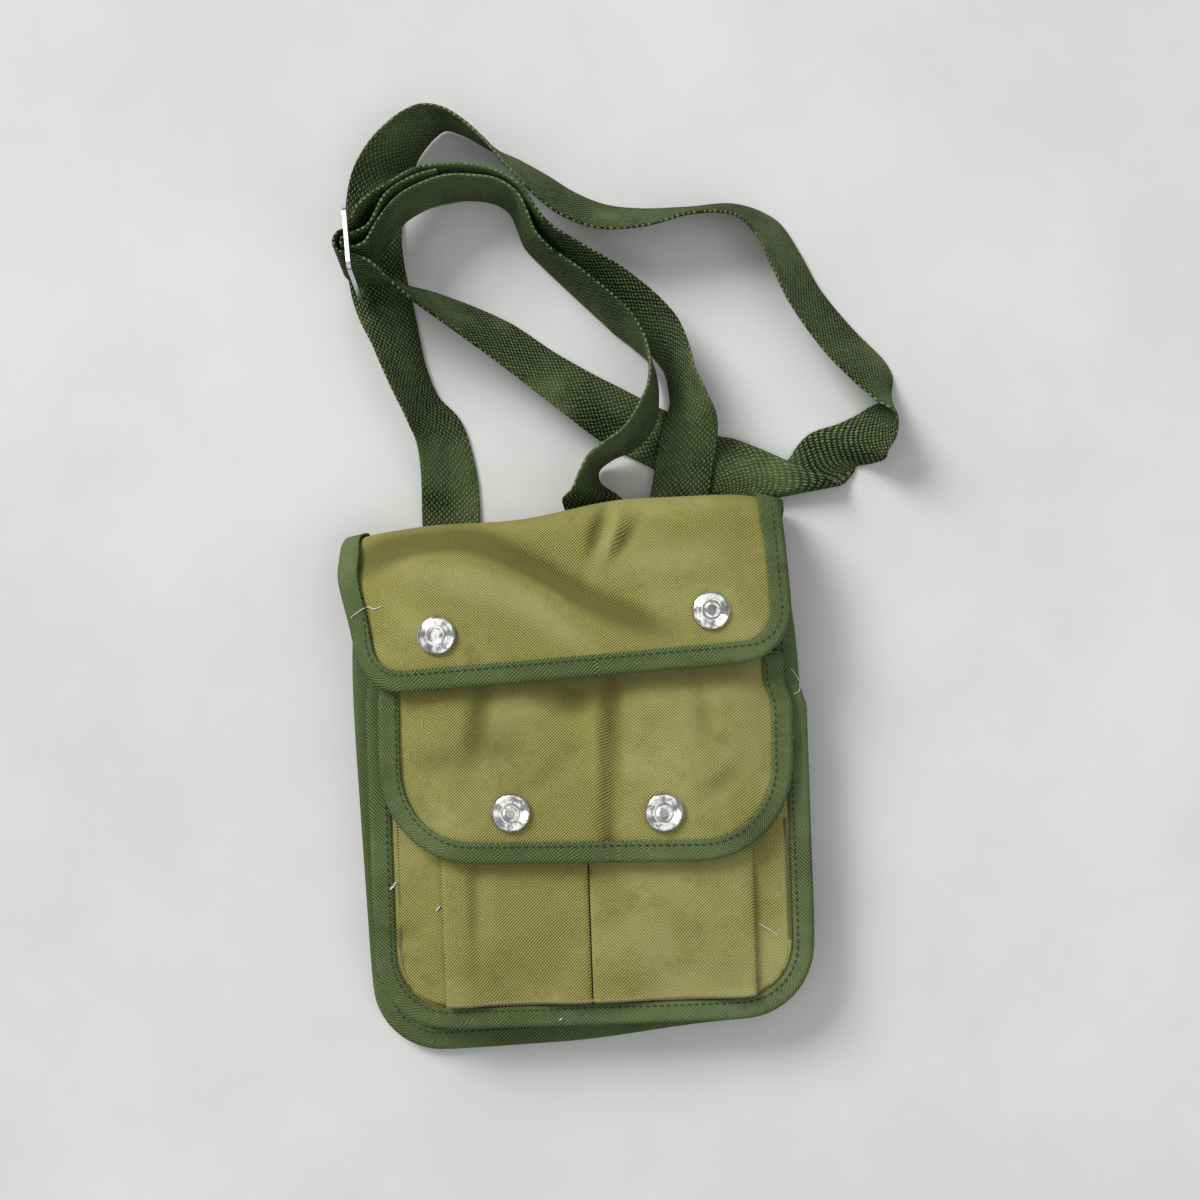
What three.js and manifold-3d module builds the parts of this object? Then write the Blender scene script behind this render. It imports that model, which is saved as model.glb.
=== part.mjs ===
// Military accessory pouch with a long webbing shoulder strap, lying on its back.
// Millimetres, +Z up off the floor, +Y towards the pouch's top, +X to its wearer-side right.
// Cloth pieces are sheets with a real wall; bound edges are folded tapes round those sheets.

import * as THREE from 'three';
import { mergeVertices } from 'three/addons/utils/BufferGeometryUtils.js';
import Module from 'manifold-3d';

const wasm = await Module();
wasm.setup();

// Cloth, tape and webbing
const CANVAS = 1.0;
const TAPE = 1.0;
const TAPE_SHOWN = 9;
const TAPE_SLACK = 0.4;
const GAP = 0.3;
const WEBBING_WIDTH = 25;
const WEBBING = 1.5;

// Pouch body
const BACK_WIDTH = 190;
const BACK_DROP = 130.5;
const BACK_RISE = 80;
const BACK_CORNER = 30;
const BACK_TURN = 4;
const FRONT_WIDTH = 186;
const FRONT_DROP = 119.5;
const FRONT_RISE = 72;
const FRONT_CORNER = 32;
const FRONT_TURN = 2;
const FRONT_SHIFT = 5.3;
const MOUTH_TAPER = 7;
const TAPER_START = 35;
const TAPER_LENGTH = 55;
const BODY_DEPTH = 22;
const BACK_DOME = 3.2;
const STRAP_ROOM = 1.1;
const FRONT_DOME = 3;
const WALL_BULGE = 2;
const WALL_FOOT = 3;

// Main flap
const FLAP_WIDTH = 188;
const FLAP_DROP = 66.7;
const FLAP_CORNER = 22;
const FLAP_TURN = 5.04;
const FLAP_OFFSET = -4.5;
const FOLD_LINE_RISE = 94;
const FOLD_DEPTH = 9;
const FLAP_HEIGHT = 33;
const FLAP_PROUD = 4;
const FLAP_DROOP = 0.22;

// Pocket flap
const LID_WIDTH = 173;
const LID_DROP = 49.3;
const LID_RISE = 37;
const LID_CORNER = 39;
const LID_TURN = 0.8;
const LID_OFFSET = 4.7;
const LID_HEIGHT = 33;
const LID_CLEAR = 2.7;

// Pockets
const PLEAT_STEP = 0.9;
const PLEAT_LAP = 8;
const LEFT_PLEAT = 61;
const RIGHT_PLEAT = 68.5;
const SLIT_OFFSET = -1.4;
const POCKET_RISE = 22;
const POCKET_INSET = TAPE_SHOWN + 1;
const POCKET_PUFF = 2;

// Snap fasteners
const CAP_RADIUS = 8.4;
const CAP_HEIGHT = 2.9;
const SHANK_RADIUS = 2.3;
const SOCKET_RADIUS = 5.6;
const SOCKET_DEPTH = 2.2;
const SOCKET_WALL = 1.2;
const SOCKET_ROOF = 0.9;
const STUD_HEAD = 2.7;
const STUD_BASE_RADIUS = 4.8;
const STUD_BASE = 0.9;

// Slide and keeper
const SLIDE_LENGTH = 32;
const SLIDE_HEIGHT = 29;
const SLIDE_WIRE = 2.5;
const SLIDE_PLATE = 1.8;
const SLIDE_LEAN = 17;
const SLIDE_TURN = 97.2;
const SLIDE_LIFT = 21.6;
const KEEPER_WIRE = 2.5;
const KEEPER_WIDTH = 32;
const KEEPER_DEPTH = 14;

// Strap layout: how far it spreads to each side, and how far past the pouch's top it reaches
const STRAP_SPREAD = 130;
const STRAP_REACH = 170;
const STRAP_BASE = 115;
const FOLD_OVER_RADIUS = 4.2;
const FOLD_OVER_TIGHT = 1.6;

// Derived heights of the two seams
const SEAM_STACK = 2 * CANVAS + GAP;
const SEAM_HEIGHT = SEAM_STACK + 2 * (TAPE + GAP);
const BACK_MID = TAPE + GAP + CANVAS / 2;
const BACK_FLANGE = BACK_MID + CANVAS + GAP;
const FRONT_BOTTOM = BODY_DEPTH - SEAM_HEIGHT;
const FRONT_FLANGE = FRONT_BOTTOM + TAPE + GAP + CANVAS / 2;
const FRONT_MID = FRONT_FLANGE + CANVAS + GAP;
const WALL_INSET = TAPE_SHOWN + 1.2;

// Body frames in plan: pivot and turn of each panel
const BACK_FRAME = { x: -3.2, y: 20, turn: BACK_TURN };
const FRONT_FRAME = { x: BACK_FRAME.x + FRONT_SHIFT, y: 20, turn: FRONT_TURN };
const LID_FRAME = { x: BACK_FRAME.x + LID_OFFSET, y: 20, turn: LID_TURN };
const FLAP_FRAME = { x: BACK_FRAME.x + FLAP_OFFSET, y: 20 + FOLD_LINE_RISE, turn: FLAP_TURN };

// The top fold bows upwards: shares of the half width, and of the fold's own depth
const FOLD_LINE = [
  { across: -1, rise: -0.1 },
  { across: -0.62, rise: 0.24 },
  { across: -0.22, rise: 0.08 },
  { across: 0, rise: 0.35 },
  { across: 0.24, rise: 0.64 },
  { across: 0.52, rise: 0.54 },
  { across: 0.85, rise: 0.36 },
  { across: 1, rise: -0.1 },
];

// Height of the main flap across its width, as shares of the half width and of its height:
// it hangs over the left side of the body and lies nearly level on the right
const FLAP_ACROSS = [
  { across: -1.02, height: 0.68 },
  { across: -0.95, height: 0.805 },
  { across: -0.88, height: 0.91 },
  { across: -0.8, height: 0.94 },
  { across: -0.7, height: 0.955 },
  { across: -0.55, height: 0.98 },
  { across: -0.3, height: 1.0 },
  { across: 0.25, height: 1.02 },
  { across: 0.65, height: 1.01 },
  { across: 0.86, height: 0.97 },
  { across: 1.02, height: 0.89 },
];

// Dents and swells: place and size as shares of the flap's half width and drop,
// turn in degrees, height as a share of the flap's height
const FLAP_DENTS = [
  { across: -0.58, down: 0.13, long: 0.3, wide: 0.1, turn: 8, height: -0.05 },
  { across: -0.16, down: 0.33, long: 0.25, wide: 0.1, turn: -25, height: -0.055 },
  { across: 0.2, down: 0.52, long: 0.16, wide: 0.09, turn: -8, height: -0.03 },
  { across: -0.86, down: 0.42, long: 0.15, wide: 0.24, turn: 0, height: -0.03 },
  { across: -0.45, down: 0.62, long: 0.16, wide: 0.2, turn: 0, height: 0.03 },
  { across: 0.19, down: 0.14, long: 0.06, wide: 0.2, turn: 12, height: -0.045 },
  { across: 0.29, down: 0.16, long: 0.06, wide: 0.2, turn: -14, height: 0.03 },
  { across: 0.05, down: 0.85, long: 0.3, wide: 0.16, turn: 0, height: 0.02 },
];

// Dents and swells of the pocket flap, in the same columns, down from its hinge
const LID_DENTS = [
  { across: 0.02, down: 0.62, long: 0.055, wide: 0.5, turn: 0, height: 0.035 },
  { across: 0.13, down: 0.62, long: 0.06, wide: 0.5, turn: 0, height: -0.075 },
  { across: -0.44, down: 0.5, long: 0.12, wide: 0.26, turn: 0, height: -0.03 },
  { across: 0.72, down: 0.4, long: 0.1, wide: 0.2, turn: 0, height: -0.03 },
  { across: -0.02, down: 0.24, long: 0.12, wide: 0.09, turn: 20, height: -0.04 },
];

// Snap places: shares of the half width, and of the drop below the fold or hinge
const SNAPS = [
  { name: 'upper_left', on: 'flap', across: -0.6, down: 0.665 },
  { name: 'upper_right', on: 'flap', across: 0.61, down: 0.66 },
  { name: 'lower_left', on: 'lid', across: -0.362, down: 0.755 },
  { name: 'lower_right', on: 'lid', across: 0.37, down: 0.762 },
];

// Strap stations before the roll-over fold: place as shares of the spread and reach,
// lift of the lower edge in webbing thicknesses, and the direction from edge to edge
const STRAP_OUT = [
  { x: -0.438, y: -0.2, lift: 2.6, east: -1, north: 0, up: 0 },
  { x: -0.438, y: -0.1, lift: 2.2, east: -1, north: 0, up: 0 },
  { x: -0.44, y: -0.01, lift: 1.0, east: -1, north: 0, up: 0 },
  { x: -0.444, y: 0.116, lift: 0.55, east: -0.91, north: 0.04, up: 0.41 },
  { x: -0.476, y: 0.22, lift: 0.55, east: -0.74, north: -0.29, up: 0.6 },
  { x: -0.536, y: 0.29, lift: 0.55, east: -0.53, north: -0.29, up: 0.8 },
  { x: -0.583, y: 0.37, lift: 0.55, east: -0.6, north: -0.24, up: 0.76 },
  { x: -0.618, y: 0.45, lift: 0.55, east: -0.72, north: -0.24, up: 0.64 },
  { x: -0.656, y: 0.529, lift: 0.55, east: -0.9, north: -0.27, up: 0.34 },
  { x: -0.682, y: 0.6, lift: 0.55, east: -0.98, north: -0.18, up: 0.06 },
  { x: -0.7, y: 0.694, lift: 0.55, east: -1, north: -0.05, up: 0.02 },
  { x: -0.696, y: 0.788, lift: 0.55, east: -1, north: 0.1, up: 0.04 },
  { x: -0.677, y: 0.853, lift: 0.55, east: -0.94, north: 0.2, up: 0.24 },
  { x: -0.642, y: 0.9, lift: 0.55, east: -0.75, north: 0.35, up: 0.56 },
  { x: -0.6, y: 0.941, lift: 0.55, east: -0.5, north: 0.38, up: 0.78 },
  { x: -0.555, y: 0.974, lift: 0.55, east: -0.34, north: 0.36, up: 0.87 },
  { x: -0.509, y: 0.994, lift: 0.55, east: -0.15, north: 0.3, up: 0.94 },
  { x: -0.456, y: 0.999, lift: 0.55, east: 0, north: 0.1, up: 0.99 },
  { x: -0.39, y: 0.977, lift: 0.55, east: 0, north: 0, up: 1 },
  { x: -0.315, y: 0.936, lift: 0.55, east: -0.04, north: -0.1, up: 0.99 },
  { x: -0.237, y: 0.894, lift: 0.55, east: -0.17, north: -0.29, up: 0.94 },
  { x: -0.142, y: 0.839, lift: 0.55, east: -0.28, north: -0.45, up: 0.85 },
  { x: -0.052, y: 0.791, lift: 0.55, east: -0.27, north: -0.53, up: 0.8 },
  { x: 0.062, y: 0.758, lift: 0.55, east: -0.12, north: -0.57, up: 0.81 },
  { x: 0.198, y: 0.754, lift: 0.55, east: 0.03, north: -0.48, up: 0.88 },
  { x: 0.351, y: 0.77, lift: 0.55, east: 0, north: -0.31, up: 0.95 },
  { x: 0.501, y: 0.773, lift: 0.55, east: -0.15, north: -0.36, up: 0.92 },
  { x: 0.604, y: 0.73, lift: 0.55, east: -0.45, north: -0.37, up: 0.81 },
  { x: 0.672, y: 0.645, lift: 0.55, east: -0.57, north: -0.35, up: 0.74 },
  { x: 0.732, y: 0.559, lift: 0.55, east: -0.59, north: -0.36, up: 0.72 },
  { x: 0.848, y: 0.445, lift: 0.55, east: -0.58, north: -0.47, up: 0.66 },
  { x: 0.938, y: 0.376, lift: 0.55, east: -0.6, north: -0.46, up: 0.65 },
  { x: 0.99, y: 0.326, lift: 0.55, east: -0.42, north: -0.44, up: 0.79 },
  { x: 1.012, y: 0.28, lift: 0.55, east: 0, north: -0.35, up: 0.93 },
  { x: 0.983, y: 0.238, lift: 0.55, east: 0.38, north: -0.55, up: 0.74 },
  { x: 0.92, y: 0.2, lift: 0.55, east: 0.68, north: -0.45, up: 0.55 },
  { x: 0.822, y: 0.155, lift: 0.55, east: 1.04, north: -0.22, up: 0 },
];

// Roll-over fold: start of the fold on the centre line, and the direction of its crease
const FOLD_OVER = { x: 0.752, y: 0.091, crease: 194.8, travel: 230.3 };

// Stations from the fold to the slide: the far edge is now the high one
const STRAP_BACK = [
  { x: 0.49, y: 0.128, lift: 1.3, east: 0.45, north: 0.9, up: 0.05 },
  { x: 0.408, y: 0.144, lift: 0.6, east: 0.4, north: 0.92, up: 0 },
  { x: 0.242, y: 0.206, lift: 0.55, east: 0.45, north: 0.89, up: 0 },
  { x: 0.135, y: 0.247, lift: 0.55, east: 0.47, north: 0.86, up: -0.06 },
  { x: -0.002, y: 0.308, lift: 0.55, east: 0.47, north: 0.76, up: -0.45 },
  { x: -0.141, y: 0.378, lift: 0.55, east: 0.42, north: 0.65, up: -0.63 },
  { x: -0.267, y: 0.446, lift: 0.8, east: 0.38, north: 0.62, up: -0.68 },
  { x: -0.4, y: 0.503, lift: 1.8, east: 0.27, north: 0.5, up: -0.82 },
  { x: -0.508, y: 0.544, lift: 3.0, east: 0.18, north: 0.35, up: -0.92 },
  { x: -0.6, y: 0.577, lift: 5.2, east: 0.1, north: 0.1, up: -0.99 },
  { x: -0.68, y: 0.602, lift: 7.4, east: 0, north: -0.2, up: -0.98 },
];

// Stations from the slide to the keeper
const STRAP_DOWN = [
  { x: -0.71, y: 0.742, lift: 5.3, east: 0, north: -0.27, up: -0.96 },
  { x: -0.617, y: 0.8, lift: 4.0, east: 0, north: -0.2, up: -0.98 },
  { x: -0.538, y: 0.839, lift: 3.2, east: 0, north: -0.15, up: -0.99 },
  { x: -0.447, y: 0.853, lift: 1.8, east: -0.05, north: -0.15, up: -0.99 },
  { x: -0.363, y: 0.852, lift: 0.8, east: -0.08, north: -0.18, up: -0.98 },
  { x: -0.285, y: 0.84, lift: 0.55, east: -0.12, north: -0.14, up: -0.98 },
  { x: -0.216, y: 0.806, lift: 0.55, east: -0.15, north: -0.13, up: -0.98 },
  { x: -0.17, y: 0.756, lift: 0.55, east: -0.18, north: -0.09, up: -0.98 },
  { x: -0.125, y: 0.711, lift: 0.55, east: -0.18, north: -0.14, up: -0.97 },
  { x: -0.009, y: 0.637, lift: 0.55, east: -0.28, north: -0.38, up: -0.88 },
  { x: 0.086, y: 0.586, lift: 0.55, east: -0.38, north: -0.5, up: -0.78 },
  { x: 0.205, y: 0.508, lift: 0.55, east: -0.46, north: -0.53, up: -0.71 },
  { x: 0.269, y: 0.455, lift: 0.55, east: -0.42, north: -0.5, up: -0.76 },
  { x: 0.306, y: 0.402, lift: 0.55, east: -0.38, north: -0.34, up: -0.86 },
  { x: 0.324, y: 0.353, lift: 1.2, east: -0.42, north: -0.15, up: -0.89 },
  { x: 0.348, y: 0.291, lift: 2.0, east: -0.6, north: -0.1, up: -0.79 },
  { x: 0.35, y: 0.209, lift: 2.4, east: -0.96, north: -0.1, up: -0.25 },
  { x: 0.338, y: 0.139, lift: 2.45, east: -1, north: -0.05, up: 0 },
  { x: 0.323, y: 0.062, lift: 2.3, east: -1, north: -0.04, up: 0 },
  { x: 0.285, y: -0.05, lift: 0.55, east: -1, north: 0, up: 0 },
];

// Stations from the keeper back to the slide
const STRAP_RETURN = [
  { x: 0.165, y: -0.065, lift: 3.7, east: -0.96, north: -0.36, up: 0 },
  { x: 0.085, y: -0.01, lift: 2.2, east: -0.86, north: -0.5, up: 0 },
  { x: 0.036, y: 0.038, lift: 1.0, east: -0.85, north: -0.1, up: 0.45 },
  { x: 0.016, y: 0.08, lift: 0.7, east: -0.45, north: -0.1, up: 0.88 },
  { x: 0.034, y: 0.133, lift: 0.9, east: -0.2, north: 0.14, up: 0.97 },
  { x: 0.08, y: 0.163, lift: 2.2, east: -0.16, north: 0.2, up: 0.97 },
  { x: 0.154, y: 0.197, lift: 2.7, east: -0.23, north: 0.26, up: 0.94 },
  { x: 0.205, y: 0.249, lift: 2.6, east: -0.3, north: 0.24, up: 0.92 },
  { x: 0.23, y: 0.316, lift: 2.0, east: -0.2, north: 0.06, up: 0.97 },
  { x: 0.223, y: 0.391, lift: 0.8, east: -0.07, north: 0, up: 0.99 },
  { x: 0.183, y: 0.444, lift: 0.55, east: 0.12, north: 0.13, up: 0.98 },
  { x: 0.117, y: 0.499, lift: 0.55, east: 0.25, north: 0.24, up: 0.94 },
  { x: 0.028, y: 0.56, lift: 0.55, east: 0.24, north: 0.22, up: 0.95 },
  { x: -0.048, y: 0.609, lift: 0.55, east: 0.2, north: 0.18, up: 0.96 },
  { x: -0.119, y: 0.653, lift: 0.55, east: 0.17, north: 0.1, up: 0.98 },
  { x: -0.172, y: 0.697, lift: 0.55, east: 0.2, north: 0.08, up: 0.98 },
  { x: -0.197, y: 0.743, lift: 0.55, east: 0.2, north: 0.06, up: 0.96 },
  { x: -0.226, y: 0.788, lift: 0.55, east: 0.18, north: 0.1, up: 0.95 },
  { x: -0.285, y: 0.818, lift: 0.6, east: 0.12, north: 0.16, up: 0.94 },
  { x: -0.371, y: 0.826, lift: 1.1, east: 0.08, north: 0.18, up: 0.95 },
  { x: -0.448, y: 0.819, lift: 2.1, east: 0.05, north: 0.23, up: 0.97 },
  { x: -0.522, y: 0.798, lift: 3.2, east: 0, north: 0.2, up: 0.98 },
  { x: -0.592, y: 0.762, lift: 4.4, east: 0, north: 0.22, up: 0.98 },
  { x: -0.652, y: 0.7, lift: 5.6, east: 0, north: 0.27, up: 0.96 },
  { x: -0.7, y: 0.64, lift: 6.8, east: 0.03, north: 0.29, up: 0.96 },
];

// Stations of the tail, sewn back along the strap
const STRAP_TAIL = [
  { x: -0.69, y: 0.685, lift: 5.7, east: 0.03, north: 0.28, up: 0.96 },
  { x: -0.625, y: 0.772, lift: 4.6, east: 0, north: 0.22, up: 0.98 },
  { x: -0.538, y: 0.818, lift: 3.2, east: 0, north: 0.2, up: 0.98 },
  { x: -0.47, y: 0.836, lift: 2.3, east: 0.03, north: 0.2, up: 0.98 },
];

const pouch = new THREE.Group();
const COLOURS = {
  canvas: [0x8a8448, 0.92, 0],
  tape: [0x4f6a35, 0.9, 0],
  webbing: [0x3f5a2a, 0.93, 0],
  nickel: [0xc9c9c6, 0.28, 1],
};

/** Adds one named piece to the pouch. */
function addPiece(name, geometry, finish) {
  const [color, roughness, metalness] = COLOURS[finish];
  const mesh = new THREE.Mesh(geometry, new THREE.MeshStandardMaterial({ color, roughness, metalness }));
  mesh.name = name;
  pouch.add(mesh);
}

/** Smooth value of a table at x: cubic between rows, with slopes from the neighbouring rows. */
function lookup(table, key, column, x) {
  const last = table.length - 1;
  if (x <= table[0][key]) return table[0][column];
  if (x >= table[last][key]) return table[last][column];
  const i = table.findIndex((row) => row[key] > x) - 1;
  const slope = (k) => {
    const a = table[Math.max(k - 1, 0)];
    const b = table[Math.min(k + 1, last)];
    return (b[column] - a[column]) / (b[key] - a[key]);
  };
  const width = table[i + 1][key] - table[i][key];
  const t = (x - table[i][key]) / width;
  const h = [2 * t ** 3 - 3 * t ** 2 + 1, t ** 3 - 2 * t ** 2 + t, 3 * t ** 2 - 2 * t ** 3, t ** 3 - t ** 2];
  const values = h[0] * table[i][column] + h[2] * table[i + 1][column];
  return values + width * (h[1] * slope(i) + h[3] * slope(i + 1));
}

/** 0 below 0, 1 above 1, smooth between. */
function ease(t) {
  const c = Math.min(Math.max(t, 0), 1);
  return c * c * (3 - 2 * c);
}

/** Plan point of a frame's own across and along coordinates. */
function toPlan(frame, across, along) {
  const a = THREE.MathUtils.degToRad(frame.turn);
  return {
    x: frame.x + across * Math.cos(a) - along * Math.sin(a),
    y: frame.y + across * Math.sin(a) + along * Math.cos(a),
  };
}

/** Across and along coordinates of a plan point in a frame. */
function toFrame(frame, x, y) {
  const a = THREE.MathUtils.degToRad(frame.turn);
  const dx = x - frame.x;
  const dy = y - frame.y;
  return { across: dx * Math.cos(a) + dy * Math.sin(a), along: dy * Math.cos(a) - dx * Math.sin(a) };
}

/** Sum of the smooth dents of a table at a place given in shares. */
function dents(table, across, down, halfWidth, drop) {
  let sum = 0;
  for (const dent of table) {
    const a = THREE.MathUtils.degToRad(dent.turn);
    const dx = (across - dent.across) * halfWidth;
    const dy = (dent.down - down) * drop;
    const u = (dx * Math.cos(a) + dy * Math.sin(a)) / (dent.long * halfWidth);
    const v = (dy * Math.cos(a) - dx * Math.sin(a)) / (dent.wide * drop);
    sum += dent.height * Math.exp(-(u * u + v * v));
  }
  return sum;
}

/** A closed sheet of a given thickness round a grid of mid-surface points. */
function sheet(rows, thickness) {
  const m = rows.length;
  const n = rows[0].length;
  const normals = rows.map((row, j) => row.map((_, i) => {
    const du = rows[j][Math.min(i + 1, n - 1)].clone().sub(rows[j][Math.max(i - 1, 0)]);
    const dv = rows[Math.min(j + 1, m - 1)][i].clone().sub(rows[Math.max(j - 1, 0)][i]);
    return du.cross(dv).normalize();
  }));
  const positions = [];
  for (const side of [0.5, -0.5]) {
    rows.forEach((row, j) => row.forEach((p, i) => {
      const q = p.clone().addScaledVector(normals[j][i], side * thickness);
      positions.push(q.x, q.y, q.z);
    }));
  }
  const at = (side, j, i) => side * m * n + j * n + i;
  const index = [];
  for (let j = 0; j < m - 1; j += 1) {
    for (let i = 0; i < n - 1; i += 1) {
      index.push(at(0, j, i), at(0, j, i + 1), at(0, j + 1, i + 1));
      index.push(at(0, j, i), at(0, j + 1, i + 1), at(0, j + 1, i));
      index.push(at(1, j, i), at(1, j + 1, i + 1), at(1, j, i + 1));
      index.push(at(1, j, i), at(1, j + 1, i), at(1, j + 1, i + 1));
    }
  }
  const rim = [];
  for (let i = 0; i < n; i += 1) rim.push([0, i]);
  for (let j = 1; j < m; j += 1) rim.push([j, n - 1]);
  for (let i = n - 2; i >= 0; i -= 1) rim.push([m - 1, i]);
  for (let j = m - 2; j > 0; j -= 1) rim.push([j, 0]);
  rim.forEach((a, k) => {
    const b = rim[(k + 1) % rim.length];
    index.push(at(0, ...a), at(1, ...a), at(1, ...b));
    index.push(at(0, ...a), at(1, ...b), at(0, ...b));
  });
  return closed(positions, index);
}

/** Geometry of a closed body, turned outwards if its volume comes out negative. */
function closed(positions, index) {
  const p = (k) => new THREE.Vector3(positions[3 * k], positions[3 * k + 1], positions[3 * k + 2]);
  let volume = 0;
  for (let k = 0; k < index.length; k += 3) {
    volume += p(index[k]).dot(p(index[k + 1]).cross(p(index[k + 2])));
  }
  if (volume < 0) {
    for (let k = 0; k < index.length; k += 3) [index[k], index[k + 1]] = [index[k + 1], index[k]];
  }
  const geometry = new THREE.BufferGeometry();
  geometry.setAttribute('position', new THREE.Float32BufferAttribute(positions, 3));
  geometry.setIndex(index);
  return geometry;
}

/** A closed body swept through rings of equal length; each end is closed by the given faces. */
function sweep(rings, endFaces) {
  const n = rings[0].length;
  const positions = rings.flat().flatMap((q) => [q.x, q.y, q.z]);
  const index = [];
  for (let j = 0; j < rings.length - 1; j += 1) {
    for (let i = 0; i < n; i += 1) {
      const a = j * n + i;
      const b = j * n + ((i + 1) % n);
      index.push(a, b, b + n, a, b + n, a + n);
    }
  }
  const end = (rings.length - 1) * n;
  for (const [a, b, c] of endFaces) {
    index.push(a, c, b);
    index.push(end + a, end + b, end + c);
  }
  return closed(positions, index);
}

const CHANNEL_ENDS = [[0, 1, 6], [0, 6, 7], [1, 2, 5], [1, 5, 6], [2, 3, 4], [2, 4, 5]];

/** Folded tape round an edge: each station has the edge, a point inside it and the cloth's normal. */
function binding(stations, stack, slack) {
  const inner = stack / 2 + GAP + slack;
  const outer = inner + TAPE;
  const rings = stations.map(({ edge, inside, normal }) => {
    const out = edge.clone().sub(inside).normalize();
    const at = (base, o, h) => base.clone().addScaledVector(out, o).addScaledVector(normal, h);
    return [
      at(inside, 0, outer), at(edge, GAP + TAPE, outer), at(edge, GAP + TAPE, -outer), at(inside, 0, -outer),
      at(inside, 0, -inner), at(edge, GAP, -inner), at(edge, GAP, inner), at(inside, 0, inner),
    ];
  });
  return sweep(rings, CHANNEL_ENDS);
}

/** A three.js geometry as a manifold solid. */
function toManifold(geometry) {
  const bare = geometry.clone();
  bare.deleteAttribute('normal');
  bare.deleteAttribute('uv');
  const merged = mergeVertices(bare, 1e-4);
  return new wasm.Manifold(new wasm.Mesh({
    numProp: 3,
    vertProperties: new Float32Array(merged.attributes.position.array),
    triVerts: new Uint32Array(merged.index.array),
  }));
}

/** A manifold solid as a three.js geometry. */
function toGeometry(solid) {
  const mesh = solid.getMesh();
  const geometry = new THREE.BufferGeometry();
  geometry.setAttribute('position', new THREE.BufferAttribute(new Float32Array(mesh.vertProperties), 3));
  geometry.setIndex(new THREE.BufferAttribute(new Uint32Array(mesh.triVerts), 1));
  return geometry;
}

/** Half width of a panel at a place along it, narrowing to the mouth. */
function halfAt(width, along) {
  return width / 2 - MOUTH_TAPER * ease((along - TAPER_START) / TAPER_LENGTH);
}

/** Column place in a row near a rounded end: only the outermost columns close in. */
function squeeze(share, half, corner, toEnd) {
  if (toEnd >= corner) return share * half;
  const depth = Math.max(toEnd, 0);
  const reach = half - corner + Math.sqrt(depth * (2 * corner - depth));
  const still = half - corner - 6;
  if (Math.abs(share) * half <= still) return share * half;
  const part = (Math.abs(share) * half - still) / (half - still);
  return Math.sign(share) * (still + part * (reach - still));
}

/** Distances from a rounded end at even turns of its corner. */
function cornerSteps(corner, count) {
  return Array.from({ length: count }, (_, k) => corner * (1 - Math.cos((Math.PI / 2) * (k / count))));
}

/** U-shaped outline of a panel, inset from its edge: down the left, round the bottom, up the right. */
function outline(frame, width, drop, rise, corner, inset, sideSteps, bottomSteps) {
  const turns = 6;
  const r = corner - inset;
  const points = [];
  const side = (sign, t) => {
    const along = rise + (corner - drop - rise) * t;
    return [sign * (halfAt(width, along) - inset), along];
  };
  for (let k = 0; k < sideSteps; k += 1) points.push(side(-1, k / sideSteps));
  const x0 = width / 2 - corner;
  for (let k = 0; k <= turns; k += 1) {
    const a = (Math.PI / 2) * (k / turns);
    points.push([-x0 - r * Math.cos(a), corner - drop - r * Math.sin(a)]);
  }
  for (let k = 1; k < bottomSteps; k += 1) points.push([-x0 + (2 * x0 * k) / bottomSteps, inset - drop]);
  for (let k = turns; k >= 0; k -= 1) {
    const a = (Math.PI / 2) * (k / turns);
    points.push([x0 + r * Math.cos(a), corner - drop - r * Math.sin(a)]);
  }
  for (let k = sideSteps - 1; k >= 0; k -= 1) points.push(side(1, k / sideSteps));
  return points.map(([across, along]) => toPlan(frame, across, along));
}

const SIDE_STEPS = 6;
const BOTTOM_STEPS = 6;

/** Outline of the back panel at an inset. */
function backOutline(inset) {
  return outline(BACK_FRAME, BACK_WIDTH, BACK_DROP, BACK_RISE, BACK_CORNER, inset, SIDE_STEPS, BOTTOM_STEPS);
}

/** Outline of the front panel at an inset. */
function frontOutline(inset) {
  return outline(
    FRONT_FRAME, FRONT_WIDTH, FRONT_DROP, FRONT_RISE, FRONT_CORNER, inset, SIDE_STEPS, BOTTOM_STEPS,
  );
}

const UP = new THREE.Vector3(0, 0, 1);

/** Flat seam binding of a panel outline at a height. */
function seamBinding(shape, height) {
  const edge = shape(GAP + TAPE);
  const inside = shape(TAPE_SHOWN);
  return binding(edge.map((p, k) => ({
    edge: new THREE.Vector3(p.x, p.y, height),
    inside: new THREE.Vector3(inside[k].x, inside[k].y, height),
    normal: UP,
  })), SEAM_STACK, 0);
}

/** Height of the back panel's mid-surface above its seam. */
function backDome(across, along) {
  const side = ease((BACK_WIDTH / 2 - Math.abs(across) - 14) / 26);
  const bottom = ease((along + BACK_DROP - 14) / 30);
  const overStrap = 1 + STRAP_ROOM * ease((along - 30) / 30);
  return BACK_DOME * side * bottom * overStrap;
}

/** Height of the front panel's mid-surface. */
function frontHeight(across, along) {
  const side = ease((halfAt(FRONT_WIDTH, along) - Math.abs(across) - 12) / 26);
  const bottom = ease((along + FRONT_DROP - 12) / 30);
  return FRONT_MID + FRONT_DOME * side * bottom;
}

/** Height of the main flap's mid-surface at shares across and down. */
function flapHeight(across, down) {
  const level = lookup(FLAP_ACROSS, 'across', 'height', across);
  const proud = (FLAP_PROUD / FLAP_HEIGHT) * ease((down - 0.3) / 0.75) * ease((across + 0.98) / 0.3);
  const droop = FLAP_DROOP * ease((-0.7 - across) / 0.3) * (1 - ease((down - 0.08) / 0.3));
  return FLAP_HEIGHT * (level + proud - droop + dents(FLAP_DENTS, across, down, FLAP_WIDTH / 2, FLAP_DROP));
}

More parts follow.
